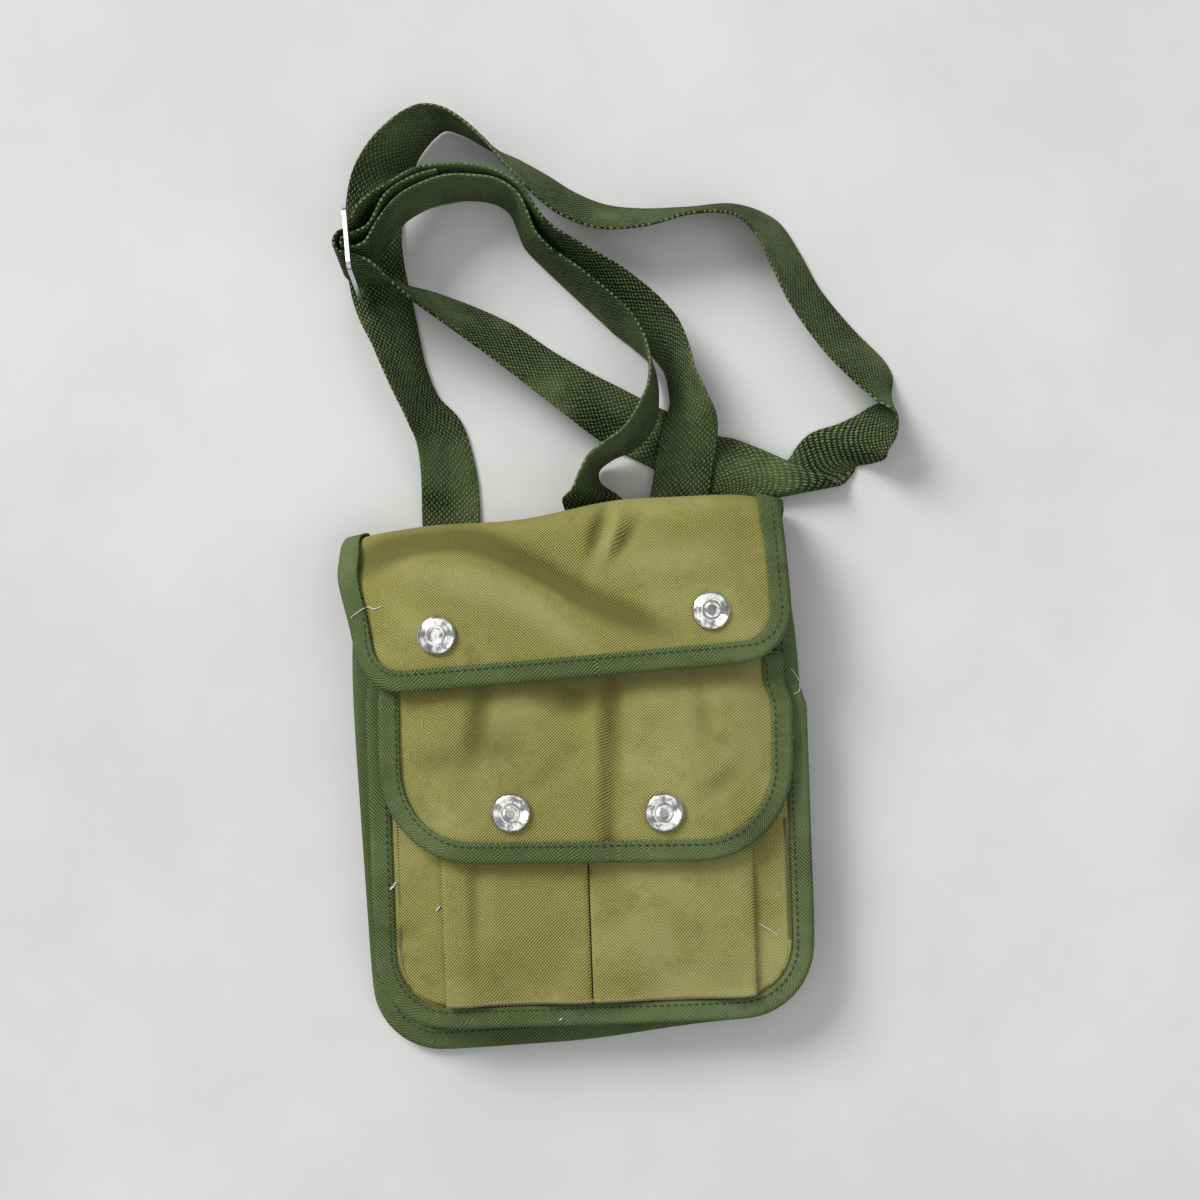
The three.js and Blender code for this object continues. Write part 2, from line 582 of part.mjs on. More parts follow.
/** Height of the pocket flap's mid-surface at shares across and down from its hinge. */
function lidHeight(across, down) {
  const hinge = BODY_DEPTH + LID_CLEAR;
  const side = ease((1 - Math.abs(across)) / 0.36);
  const over = ease(down / 0.2);
  const swell = dents(LID_DENTS, across, down, LID_WIDTH / 2, LID_DROP + LID_RISE) * LID_HEIGHT;
  return hinge + (LID_HEIGHT - hinge) * side * over + swell * over * ease((1 - Math.abs(across)) / 0.2);
}

/** Plan point of the main flap at shares across and a distance down from the fold line. */
function flapPlan(acrossMm, downMm, share) {
  const fade = 1 - ease(downMm / (0.6 * FLAP_DROP));
  const bow = FOLD_DEPTH * lookup(FOLD_LINE, 'across', 'rise', share) * fade;
  return toPlan(FLAP_FRAME, acrossMm, bow - downMm);
}

const EDGE_SHARE = 1 - TAPE_SHOWN / (FLAP_WIDTH / 2);
const FLAP_COLUMNS = [-1, -EDGE_SHARE, -0.78, -0.62, -0.46, -0.31, -0.16, -0.02, 0.11, 0.19, 0.27, 0.4, 0.55,
  0.7, 0.8, EDGE_SHARE, 1];
const FLAP_EDGE_BACK = GAP + TAPE;

/** Rows of the one cloth that is the back panel, the top fold and the main flap. */
function backAndFlapRows() {
  const rows = [];
  const backEdge = (along) => halfAt(BACK_WIDTH, along) - FLAP_EDGE_BACK;
  const ends = cornerSteps(BACK_CORNER, 5);
  const alongs = ends.map((d) => d - BACK_DROP + FLAP_EDGE_BACK);
  const side = BACK_RISE + BACK_DROP - BACK_CORNER;
  for (let k = 0; k <= 6; k += 1) alongs.push(BACK_CORNER - BACK_DROP + side * (k / 6));
  for (const along of alongs) {
    rows.push(FLAP_COLUMNS.map((share) => {
      const toEnd = along + BACK_DROP - FLAP_EDGE_BACK;
      const across = squeeze(share, backEdge(along), BACK_CORNER - FLAP_EDGE_BACK, toEnd);
      const p = toPlan(BACK_FRAME, across, along);
      return new THREE.Vector3(p.x, p.y, BACK_MID + backDome(across, along));
    }));
  }
  const half = FLAP_WIDTH / 2 - FLAP_EDGE_BACK;
  const below = rows[rows.length - 1];
  const top = FLAP_COLUMNS.map((share) => {
    const p = flapPlan(share * half, FOLD_DEPTH, share);
    return new THREE.Vector3(p.x, p.y, flapHeight(share, FOLD_DEPTH / FLAP_DROP));
  });
  const apex = FLAP_COLUMNS.map((share) => flapPlan(share * half, 0, share));
  const turns = 6;
  for (let k = 0; k < turns; k += 1) {
    const a = (Math.PI * k) / turns;
    rows.push(FLAP_COLUMNS.map((share, i) => {
      const low = below[i].z;
      const middle = (low + top[i].z) / 2;
      const forward = Math.sin(a);
      return new THREE.Vector3(
        top[i].x + (apex[i].x - top[i].x) * forward,
        top[i].y + (apex[i].y - top[i].y) * forward,
        middle - ((top[i].z - low) / 2) * Math.cos(a),
      );
    }));
  }
  const corner = FLAP_CORNER - FLAP_EDGE_BACK;
  const length = FLAP_DROP - FLAP_EDGE_BACK;
  const downs = [FOLD_DEPTH, 17, 26, 35, length - corner];
  cornerSteps(corner, 4).reverse().forEach((d) => downs.push(length - d));
  for (const down of downs) {
    rows.push(FLAP_COLUMNS.map((share) => {
      const across = squeeze(share, half, corner, length - down);
      const p = flapPlan(across, down, across / half);
      return new THREE.Vector3(p.x, p.y, flapHeight(across / half, down / FLAP_DROP));
    }));
  }
  return rows;
}

/** Unit normal of a height surface given by its plan and height functions. */
function surfaceNormal(point, u, v) {
  const step = 0.5;
  const du = point(u + step, v).sub(point(u - step, v));
  const dv = point(u, v + step).sub(point(u, v - step));
  const normal = du.cross(dv).normalize();
  return normal.z < 0 ? normal.negate() : normal;
}

/** Point of the main flap's mid-surface, by distances across and down. */
function flapPoint(across, down) {
  const half = FLAP_WIDTH / 2 - FLAP_EDGE_BACK;
  const p = flapPlan(across, down, across / half);
  return new THREE.Vector3(p.x, p.y, flapHeight(across / half, down / FLAP_DROP));
}

/** Point of the pocket flap's mid-surface, by distances across and down from the hinge. */
function lidPoint(across, down) {
  const p = toPlan(LID_FRAME, across, LID_RISE - down);
  return new THREE.Vector3(p.x, p.y, lidHeight(across / (LID_WIDTH / 2), down / (LID_RISE + LID_DROP)));
}

/** Stations of a flap's bound edge: down the left side, round the bottom, up the right side. */
function flapEdge(point, half, length, corner, downs, acrosses) {
  const turns = 6;
  const inset = TAPE_SHOWN - FLAP_EDGE_BACK;
  const pairs = [];
  const arc = (sign, k) => {
    const a = (Math.PI / 2) * (k / turns);
    const at = (r) => [sign * (half - corner + r * Math.cos(a)), length - corner + r * Math.sin(a)];
    return [at(corner), at(corner - inset)];
  };
  for (const d of downs) pairs.push([[-half, d], [inset - half, d]]);
  for (let k = 0; k <= turns; k += 1) pairs.push(arc(-1, k));
  for (const a of acrosses) pairs.push([[a, length], [a, length - inset]]);
  for (let k = turns; k >= 0; k -= 1) pairs.push(arc(1, k));
  for (const d of [...downs].reverse()) pairs.push([[half, d], [half - inset, d]]);
  return pairs.map(([edge, inside]) => ({
    edge: point(...edge),
    inside: point(...inside),
    normal: surfaceNormal(point, (edge[0] + inside[0]) / 2, (edge[1] + inside[1]) / 2),
  }));
}

// Places down a flap's straight side, as shares of it
const FLAP_SIDE = [0.38, 0.58, 0.78];
const LID_SIDE = [0.19, 0.38, 0.59, 0.8];
const LID_TAPE_START = 1;

/** Tape of the main flap, which also runs round the ends of the top fold. */
function mainFlapBinding(rows) {
  const half = FLAP_WIDTH / 2 - FLAP_EDGE_BACK;
  const corner = FLAP_CORNER - FLAP_EDGE_BACK;
  const length = FLAP_DROP - FLAP_EDGE_BACK;
  const sides = FLAP_SIDE.map((share) => share * (length - corner));
  const stations = flapEdge(flapPoint, half, length, corner, sides,
    FLAP_COLUMNS.slice(3, -3).map((share) => share * half));
  const foldStart = rows.length - 15;
  const fold = (edgeColumn, insideColumn) => {
    const list = [];
    for (let j = foldStart + 1; j <= foldStart + 6; j += 1) {
      const edge = rows[j][edgeColumn];
      const inside = rows[j][insideColumn];
      const along = rows[j + 1][edgeColumn].clone().sub(rows[j - 1][edgeColumn]);
      const across = rows[j][rows[j].length - 2].clone().sub(rows[j][1]);
      const normal = across.cross(along).normalize();
      list.push({ edge, inside, normal: normal.negate() });
    }
    return list;
  };
  const last = FLAP_COLUMNS.length - 1;
  const left = fold(0, 1);
  const right = fold(last, last - 1).reverse();
  return [...left, ...stations, ...right];
}

/** Rows of the pocket flap. */
function lidRows() {
  const half = LID_WIDTH / 2 - FLAP_EDGE_BACK;
  const length = LID_DROP + LID_RISE - FLAP_EDGE_BACK;
  const corner = LID_CORNER - FLAP_EDGE_BACK;
  const downs = [0, ...LID_SIDE.map((share) => share * (length - corner)), length - corner];
  cornerSteps(corner, 6).reverse().forEach((d) => downs.push(length - d));
  return downs.map((down) => LID_COLUMNS.map((share) => {
    const across = squeeze(share, half, corner, length - down);
    return lidPoint(across, down);
  }));
}

const LID_EDGE_SHARE = 1 - (TAPE_SHOWN - FLAP_EDGE_BACK) / (LID_WIDTH / 2 - FLAP_EDGE_BACK);
const LID_COLUMNS = [
  -1, -LID_EDGE_SHARE, -0.76, -0.62, -0.49, -0.36, -0.2, -0.08, 0.01, 0.07, 0.13, 0.19,
  0.27, 0.36, 0.49, 0.62, 0.76, LID_EDGE_SHARE, 1,
];

/** Tape of the pocket flap. */
function lidBinding() {
  const half = LID_WIDTH / 2 - FLAP_EDGE_BACK;
  const length = LID_DROP + LID_RISE - FLAP_EDGE_BACK;
  const corner = LID_CORNER - FLAP_EDGE_BACK;
  const inner = LID_COLUMNS.filter((share) => Math.abs(share) * half < half - corner - 6);
  const sides = [LID_TAPE_START, ...LID_SIDE.map((share) => share * (length - corner))];
  return flapEdge(lidPoint, half, length, corner, sides, inner.map((share) => share * half));
}

/** Rows of the front panel. */
function frontRows() {
  const back = GAP + TAPE;
  const corner = FRONT_CORNER - back;
  const shares = [-1, -0.85, -0.7, -0.5, -0.25, 0, 0.25, 0.5, 0.7, 0.85, 1];
  const alongs = cornerSteps(corner, 6).map((d) => d - FRONT_DROP + back);
  const side = FRONT_RISE + FRONT_DROP - FRONT_CORNER;
  for (let k = 0; k <= 6; k += 1) alongs.push(FRONT_CORNER - FRONT_DROP + side * (k / 6));
  return alongs.map((along) => shares.map((share) => {
    const toEnd = along + FRONT_DROP - back;
    const across = squeeze(share, halfAt(FRONT_WIDTH, along) - back, corner, toEnd);
    const p = toPlan(FRONT_FRAME, across, along);
    return new THREE.Vector3(p.x, p.y, frontHeight(across, along));
  }));
}

/** Rows of the side and bottom wall, with a flange in each seam. */
function gussetRows() {
  const columns = [
    { outline: backOutline(GAP + TAPE), height: BACK_FLANGE, out: 0 },
    { outline: backOutline(WALL_INSET), height: BACK_FLANGE, out: 0 },
    { outline: backOutline(WALL_INSET), height: BACK_FLANGE + WALL_FOOT, out: 0 },
    { outline: null, height: (BACK_FLANGE + FRONT_FLANGE) / 2, out: WALL_BULGE },
    { outline: frontOutline(WALL_INSET), height: FRONT_FLANGE - WALL_FOOT, out: 0 },
    { outline: frontOutline(WALL_INSET), height: FRONT_FLANGE, out: 0 },
    { outline: frontOutline(GAP + TAPE), height: FRONT_FLANGE, out: 0 },
  ];
  return columns[0].outline.map((_, k) => columns.map((column) => {
    if (column.outline) return new THREE.Vector3(column.outline[k].x, column.outline[k].y, column.height);
    const a = columns[1].outline[k];
    const b = columns[4].outline[k];
    const edge = columns[0].outline[k];
    const dx = edge.x - a.x;
    const dy = edge.y - a.y;
    const length = Math.hypot(dx, dy);
    return new THREE.Vector3(
      (a.x + b.x) / 2 + (dx / length) * column.out,
      (a.y + b.y) / 2 + (dy / length) * column.out,
      column.height,
    );
  }));
}

// Columns of a pocket's section that make its face
const FACE_FROM = 10;
const FACE_TO = 15;

/** Section of a pleated pocket from its outer hem to the centre slit, above the panel. */
function pocketSection(outer, pleat, puff) {
  const s = PLEAT_STEP;
  const base = GAP + CANVAS / 2 + 0.25;
  const middle = base + 2 * s;
  const face = middle + 2 * s;
  const lap = PLEAT_LAP;
  const centre = GAP / 2 + CANVAS / 2 + 0.1;
  const hem = outer - pleat - 4;
  const slope = (share) => face + puff * share;
  return [
    [outer, base], [outer - hem * 0.12, base], [outer - hem * 0.45, base], [outer - hem, base],
    [pleat - lap, base], [pleat - lap - s, base + s], [pleat - lap, middle],
    [pleat - s, middle], [pleat, middle + s], [pleat - s, face],
    [pleat - lap - 2, slope(0.05)], [pleat * 0.72, slope(0.75)], [pleat * 0.5, slope(1)],
    [pleat * 0.3, slope(0.7)], [lap + 4, slope(0.15)], [centre + s, face],
    [centre, middle + s], [centre + s, middle], [lap, middle], [lap + s, base + s],
    [lap, base], [centre + 1.5, base],
  ];
}

// How far the pocket puffs up, by shares of its length from the bottom seam
const POCKET_FORM = [
  { along: 0, puff: -1.7 },
  { along: 0.07, puff: -1.1 },
  { along: 0.2, puff: 0.2 },
  { along: 0.38, puff: 0.9 },
  { along: 0.55, puff: -0.8 },
  { along: 0.68, puff: -0.8 },
  { along: 0.84, puff: -0.5 },
  { along: 1, puff: -0.6 },
];

/** Place along the panel where a pocket's bottom hem meets the seam's tape. */
function pocketBottom(across) {
  const r = FRONT_CORNER - POCKET_INSET;
  const past = Math.min(Math.max(Math.abs(across) - (FRONT_WIDTH / 2 - FRONT_CORNER), 0), r);
  return POCKET_INSET - FRONT_DROP + r - Math.sqrt(r ** 2 - past ** 2);
}

/** Rows of one pocket; side is -1 for the left one and 1 for the right one. */
function pocketRows(side, pleat) {
  const shares = [0, 0.07, 0.2, 0.37, 0.55, 0.68, 0.84, 1];
  const outer = FRONT_WIDTH / 2 - POCKET_INSET - side * SLIT_OFFSET;
  return shares.map((share) => {
    const puff = POCKET_PUFF * lookup(POCKET_FORM, 'along', 'puff', share);
    return pocketSection(outer, pleat, puff).map(([away, height]) => {
      const across = SLIT_OFFSET + side * away;
      const bottom = pocketBottom(across);
      const along = bottom + (POCKET_RISE - bottom) * share;
      const p = toPlan(FRONT_FRAME, across, along);
      return new THREE.Vector3(p.x, p.y, frontHeight(across, along) + CANVAS / 2 + height);
    });
  });
}

/** Revolved body standing on a point along a normal. */
function revolve(profile, base, normal, sides) {
  const geometry = new THREE.LatheGeometry(profile.map(([r, z]) => new THREE.Vector2(r, z)), sides);
  geometry.applyQuaternion(new THREE.Quaternion().setFromUnitVectors(new THREE.Vector3(0, 1, 0), normal));
  geometry.translate(base.x, base.y, base.z);
  return toGeometry(toManifold(geometry));
}

/** Mid-surface point and normal of the cloth that carries a snap. */
function snapSeat(snap) {
  const half = (snap.on === 'flap' ? FLAP_WIDTH : LID_WIDTH) / 2;
  const drop = snap.on === 'flap' ? FLAP_DROP : LID_DROP + LID_RISE;
  const point = snap.on === 'flap' ? flapPoint : lidPoint;
  const u = snap.across * half;
  const v = snap.down * drop;
  return { point: point(u, v), normal: surfaceNormal(point, u, v) };
}

const CAP_SEAT = CANVAS / 2 + GAP + 0.35;

/** Cap with its shank through the cloth and the socket under it. */
function snapCap({ point, normal }) {
  const r = CAP_RADIUS;
  const h = CAP_HEIGHT;
  const under = -(CAP_SEAT + CANVAS / 2 + GAP);
  const bottom = under - SOCKET_DEPTH;
  const profile = [
    [0, h * 0.86], [r * 0.3, h * 0.86], [r * 0.38, h], [r * 0.52, h], [r * 0.62, h * 0.84],
    [r * 0.88, h * 0.62], [r * 0.98, h * 0.38], [r, h * 0.2], [r * 0.95, 0],
    [SHANK_RADIUS, 0], [SHANK_RADIUS, under],
    [SOCKET_RADIUS, under], [SOCKET_RADIUS, bottom], [SOCKET_RADIUS - SOCKET_WALL, bottom],
    [SOCKET_RADIUS - SOCKET_WALL, under - SOCKET_ROOF], [0, under - SOCKET_ROOF],
  ].reverse();
  return revolve(profile, point.clone().addScaledVector(normal, CAP_SEAT), normal, 16);
}

/** Height of the cloth under a snap: the front panel or a pocket's face. */
function clothUnder(snap, x, y) {
  const local = toFrame(FRONT_FRAME, x, y);
  const panel = frontHeight(local.across, local.along) + CANVAS / 2;
  if (snap.on === 'flap') return panel;
  const side = Math.sign(local.across - SLIT_OFFSET);
  const pleat = side < 0 ? LEFT_PLEAT : RIGHT_PLEAT;
  const bottom = POCKET_INSET - FRONT_DROP;
  const share = (local.along - bottom) / (POCKET_RISE - bottom);
  const puff = POCKET_PUFF * lookup(POCKET_FORM, 'along', 'puff', share);
  const away = Math.abs(local.across - SLIT_OFFSET);
  const section = pocketSection(pleat + 10, pleat, puff).slice(FACE_FROM, FACE_TO);
  const face = section.map(([at, height]) => ({ at, height })).reverse();
  return panel + lookup(face, 'at', 'height', away) + CANVAS / 2;
}

/** Stud on the lower cloth, its head inside the socket. */
function snapStud(snap, { point, normal }) {
  const roof = point.clone().addScaledVector(normal, -(CANVAS / 2 + GAP + SOCKET_ROOF + GAP));
  const lower = clothUnder(snap, roof.x, roof.y) + GAP + 0.4;
  const height = roof.z - lower;
  const profile = [
    [0, 0], [STUD_BASE_RADIUS, 0], [STUD_BASE_RADIUS, STUD_BASE], [STUD_HEAD * 0.85, STUD_BASE + 0.1],
    [STUD_HEAD * 0.85, height - 1.3], [STUD_HEAD, height - 1],
    [STUD_HEAD * 0.9, height - 0.5], [0, height - 0.4],
  ];
  return revolve(profile, new THREE.Vector3(roof.x, roof.y, lower), UP, 12);
}

/** A sheet with round holes for the shanks of its snaps. */
function pierced(geometry, kind) {
  let solid = toManifold(geometry);
  for (const snap of SNAPS.filter((s) => s.on === kind)) {
    const { point, normal } = snapSeat(snap);
    const drill = new THREE.CylinderGeometry(SHANK_RADIUS + GAP, SHANK_RADIUS + GAP, 8, 12);
    drill.applyQuaternion(new THREE.Quaternion().setFromUnitVectors(new THREE.Vector3(0, 1, 0), normal));
    drill.translate(point.x, point.y, point.z);
    solid = solid.subtract(toManifold(drill));
  }
  return toGeometry(solid);
}

// The slide stands on edge: its bars lean towards the strap's far end
const SLIDE_CENTRE = new THREE.Vector3(-0.744 * STRAP_SPREAD, STRAP_BASE + 0.647 * STRAP_REACH, SLIDE_LIFT);
const SLIDE_ROW = new THREE.Vector3(
  Math.cos(THREE.MathUtils.degToRad(SLIDE_TURN)),
  Math.sin(THREE.MathUtils.degToRad(SLIDE_TURN)),
  0,
);
const SLIDE_OUT = new THREE.Vector3(-SLIDE_ROW.y, SLIDE_ROW.x, 0);
const SLIDE_BAR = UP.clone().applyAxisAngle(SLIDE_OUT, THREE.MathUtils.degToRad(SLIDE_LEAN)).normalize();
const SLIDE_ACROSS = SLIDE_OUT.clone().cross(SLIDE_BAR).normalize();

/** Block with its middle at the origin. */
function block(x, y, z) {
  return toManifold(new THREE.BoxGeometry(x, y, z));
}

/** Flat three-bar slide with rounded corners and two slots. */
function strapSlide() {
  const corner = SLIDE_WIRE;
  let plate = block(SLIDE_LENGTH - 2 * corner, SLIDE_HEIGHT, SLIDE_PLATE);
  plate = plate.add(block(SLIDE_LENGTH, SLIDE_HEIGHT - 2 * corner, SLIDE_PLATE));
  for (const [sx, sy] of [[-1, -1], [1, -1], [1, 1], [-1, 1]]) {
    const round = new THREE.CylinderGeometry(corner, corner, SLIDE_PLATE, 12).rotateX(Math.PI / 2);
    round.translate(sx * (SLIDE_LENGTH / 2 - corner), sy * (SLIDE_HEIGHT / 2 - corner), 0);
    plate = plate.add(toManifold(round));
  }
  const slotLength = SLIDE_LENGTH - 2 * SLIDE_WIRE;
  const slotHeight = (SLIDE_HEIGHT - 3 * SLIDE_WIRE) / 2;
  const slot = block(slotLength, slotHeight, 3 * SLIDE_PLATE);
  const shift = (slotHeight + SLIDE_WIRE) / 2;
  plate = plate.subtract(slot.translate([0, shift, 0])).subtract(slot.translate([0, -shift, 0]));
  const face = SLIDE_BAR.clone().cross(SLIDE_ACROSS);
  const place = new THREE.Matrix4().makeBasis(SLIDE_BAR, SLIDE_ACROSS, face);
  return toGeometry(plate).applyMatrix4(place.setPosition(SLIDE_CENTRE));
}

const KEEPER = { x: 0.23 * STRAP_SPREAD, y: STRAP_BASE - 0.135 * STRAP_REACH };
const TURN_RADIUS = KEEPER_WIRE * Math.SQRT1_2 + GAP + 0.1 + WEBBING / 2;
const KEEPER_Z = 0.55 * WEBBING + TURN_RADIUS;

/** Plain rectangular ring under the back panel, which the strap turns round. */
function strapKeeper() {
  const opening = block(KEEPER_WIDTH, KEEPER_DEPTH - 2 * KEEPER_WIRE, 3 * KEEPER_WIRE);
  const ring = block(KEEPER_WIDTH + 2 * KEEPER_WIRE, KEEPER_DEPTH, KEEPER_WIRE).subtract(opening);
  return toGeometry(ring).translate(KEEPER.x, KEEPER.y - (KEEPER_DEPTH - KEEPER_WIRE) / 2, KEEPER_Z);
}

/** Strap station from a table row: centre and edge-to-edge direction. */
function station(row) {
  const side = new THREE.Vector3(row.east, row.north, row.up);
  const lift = row.lift * WEBBING + Math.abs(row.up) * (WEBBING_WIDTH / 2);
  return {
    centre: new THREE.Vector3(row.x * STRAP_SPREAD, STRAP_BASE + row.y * STRAP_REACH, lift),
    side,
  };
}

/** Stations round the slide's centre bar: half a turn at a radius, high edge chosen by sign. */
function slideTurn(radius, sign) {
  const list = [];
  for (let k = 0; k <= 4; k += 1) {
    const a = (Math.PI * k) / 4;
    const centre = SLIDE_CENTRE.clone()
      .addScaledVector(SLIDE_ACROSS, -radius * Math.cos(a))
      .addScaledVector(SLIDE_OUT, radius * Math.sin(a));
    list.push({ centre, side: SLIDE_BAR.clone().multiplyScalar(sign) });
  }
  return list;
}

/** Stations of the roll-over fold, rolled tighter at the edge next to the pouch. */
function foldOver() {
  const crease = THREE.MathUtils.degToRad(FOLD_OVER.crease);
  const slant = THREE.MathUtils.degToRad(FOLD_OVER.travel - FOLD_OVER.crease);
  const along = new THREE.Vector3(Math.cos(crease), Math.sin(crease), 0);
  const away = new THREE.Vector3(-along.y, along.x, 0);
  const start = new THREE.Vector3(
    FOLD_OVER.x * STRAP_SPREAD,
    STRAP_BASE + FOLD_OVER.y * STRAP_REACH,
    0.55 * WEBBING,
  );
  const reach = WEBBING_WIDTH / 2 / Math.sin(slant);
  const list = [];
  for (let k = 0; k <= 6; k += 1) {
    const a = (Math.PI * k) / 6;
    const edge = (sign, radius) => start.clone()
      .addScaledVector(along, (radius * a) / Math.tan(slant) - sign * reach)
      .addScaledVector(away, radius * Math.sin(a))
      .addScaledVector(UP, radius * (1 - Math.cos(a)));
    const wide = edge(1, FOLD_OVER_RADIUS);
    const tight = edge(-1, FOLD_OVER_TIGHT);
    list.push({
      centre: wide.clone().add(tight).multiplyScalar(0.5),
      side: wide.clone().sub(tight).multiplyScalar(1 / WEBBING_WIDTH),
    });
  }
  return list;
}

/** Stations round the keeper's bar, in the upright plane of the strap. */
function keeperTurn() {
  const list = [];
  for (let k = 0; k <= 4; k += 1) {
    const a = (Math.PI * k) / 4;
    list.push({
      centre: new THREE.Vector3(
        KEEPER.x, KEEPER.y - TURN_RADIUS * Math.sin(a), KEEPER_Z - TURN_RADIUS * Math.cos(a),
      ),
      side: new THREE.Vector3(-1, 0, 0),
    });
  }
  return list;
}

/** All stations of the strap in order, from its sewn end to its tail. */
function strapStations() {
  const innerTurn = Math.hypot(SLIDE_WIRE, SLIDE_PLATE) / 2 + GAP + 0.3 + WEBBING / 2;
  const outerTurn = innerTurn + 2 * WEBBING;
  return [
    ...STRAP_OUT.map(station), ...foldOver(), ...STRAP_BACK.map(station),
    ...slideTurn(outerTurn, -1), ...STRAP_DOWN.map(station), ...keeperTurn(),
    ...STRAP_RETURN.map(station), ...slideTurn(innerTurn, 1), ...STRAP_TAIL.map(station),
  ];
}

/** The strap as one ribbon with straight rulings between its selvages. */
function shoulderStrap() {
  const stations = strapStations();
  const path = new THREE.CatmullRomCurve3(stations.map((s) => s.centre));
  const sides = new THREE.CatmullRomCurve3(stations.map((s) => s.side));
  const count = 2 * (stations.length - 1);
  const rings = [];
  for (let k = 0; k <= count; k += 1) {
    const t = k / count;
    const centre = path.getPoint(t);
    const ahead = path.getPoint(Math.min(t + 1e-3, 1));
    const tangent = ahead.sub(path.getPoint(Math.max(t - 1e-3, 0))).normalize();
    const raw = sides.getPoint(t);
    const slant = raw.clone().normalize();
    const across = slant.clone().addScaledVector(tangent, -slant.dot(tangent)).normalize();
    const reach = WEBBING_WIDTH / 2 / Math.max(slant.dot(across), 0.5);
    const normal = slant.clone().cross(tangent).normalize();
    const at = (w, h) => centre.clone().addScaledVector(slant, w).addScaledVector(normal, h);
    const half = WEBBING / 2;
    const ring = [at(-reach, -half), at(reach, -half), at(reach, half), at(-reach, half)];
    const sunk = Math.min(0, ...ring.map((q) => q.z));
    ring.forEach((q) => { q.z -= sunk; });
    rings.push(ring);
  }
  return sweep(rings, [[0, 1, 2], [0, 2, 3]]);
}

const clothRows = backAndFlapRows();
addPiece('back_and_flap', pierced(sheet(clothRows, CANVAS), 'flap'), 'canvas');
addPiece('front_panel', sheet(frontRows(), CANVAS), 'canvas');
addPiece('gusset', sheet(gussetRows(), CANVAS), 'canvas');
addPiece('left_pocket', sheet(pocketRows(-1, LEFT_PLEAT), CANVAS), 'canvas');
addPiece('right_pocket', sheet(pocketRows(1, RIGHT_PLEAT), CANVAS), 'canvas');
addPiece('pocket_flap', pierced(sheet(lidRows(), CANVAS), 'lid'), 'canvas');
addPiece('main_flap_binding', binding(mainFlapBinding(clothRows), CANVAS, TAPE_SLACK), 'tape');
addPiece('pocket_flap_binding', binding(lidBinding(), CANVAS, TAPE_SLACK), 'tape');
addPiece('back_seam_binding', seamBinding(backOutline, (BACK_MID + BACK_FLANGE) / 2), 'tape');
addPiece('front_seam_binding', seamBinding(frontOutline, (FRONT_MID + FRONT_FLANGE) / 2), 'tape');
for (const snap of SNAPS) {
  const seat = snapSeat(snap);
  addPiece(`${snap.name}_snap_cap`, snapCap(seat), 'nickel');
  addPiece(`${snap.name}_snap_stud`, snapStud(snap, seat), 'nickel');
}
addPiece('shoulder_strap', shoulderStrap(), 'webbing');
addPiece('strap_slide', strapSlide(), 'nickel');
addPiece('strap_keeper', strapKeeper(), 'nickel');

// The origin is the middle of the footprint, on the floor
const box = new THREE.Box3().setFromObject(pouch);
pouch.position.set(-(box.min.x + box.max.x) / 2, -(box.min.y + box.max.y) / 2, -box.min.z);

export default pouch;
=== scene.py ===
"""Looks of the accessory pouch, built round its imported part.

Cloth pieces start from merged copies of their solids, which are subdivided and creased with
numpy relief. The strap is swept from its own stations, and tapes carry a weave that follows
their edge. Everything is in metres, in the frame of the part.
"""

import logging
import math
from dataclasses import dataclass, replace
from enum import Enum
from functools import cache
from typing import Sequence

import bmesh
import bpy
import numpy as np
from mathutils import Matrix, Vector
from mathutils.bvhtree import BVHTree


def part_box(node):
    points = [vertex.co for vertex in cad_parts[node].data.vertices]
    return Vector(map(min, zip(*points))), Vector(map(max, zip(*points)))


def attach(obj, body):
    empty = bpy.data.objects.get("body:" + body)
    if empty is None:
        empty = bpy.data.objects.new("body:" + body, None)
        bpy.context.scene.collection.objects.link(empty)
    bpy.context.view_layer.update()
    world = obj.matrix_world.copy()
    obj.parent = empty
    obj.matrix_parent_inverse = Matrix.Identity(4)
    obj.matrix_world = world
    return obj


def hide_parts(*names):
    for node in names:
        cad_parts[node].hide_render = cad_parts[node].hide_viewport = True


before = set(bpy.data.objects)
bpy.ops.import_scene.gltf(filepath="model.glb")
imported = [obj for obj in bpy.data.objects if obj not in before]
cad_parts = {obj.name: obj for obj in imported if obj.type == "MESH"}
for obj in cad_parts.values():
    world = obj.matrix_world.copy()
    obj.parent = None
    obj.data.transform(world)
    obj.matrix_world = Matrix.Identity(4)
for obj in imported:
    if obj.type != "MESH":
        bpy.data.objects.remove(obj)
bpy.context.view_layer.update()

logging.basicConfig(level=logging.INFO, format="%(message)s")
log = logging.getLogger("pouch")

MM = 0.001
TINY = 1e-12
SEED = 7

Array = np.ndarray
Rows = tuple[tuple[float, ...], ...]
Pair = tuple[float, float]
Colour = tuple[float, float, float]
Thing = bpy.types.Object
Material = bpy.types.Material
Tree = bpy.types.NodeTree
Node = bpy.types.Node
Socket = bpy.types.NodeSocket

# The slide's centre in the drawing, which ties the drawing's own origin to the part's frame
SLIDE_CENTRE = np.array([-96.72, 224.99, 21.6]) * MM
SLIDE_TURN = math.radians(97.2)
SLIDE_LEAN = math.radians(17.0)
SLIDE_WIRE = 2.5 * MM
SLIDE_PLATE = 1.8 * MM
KEEPER_CENTRE = np.array([29.9, 92.05]) * MM
KEEPER_WIRE = 2.5 * MM

# The camera in the drawing's mm, and the photograph's scale on the floor
CAMERA_AT = np.array([7.4, 79.6, 700.0])
PIXELS_PER_MM = 2.3
PICTURE = 1200

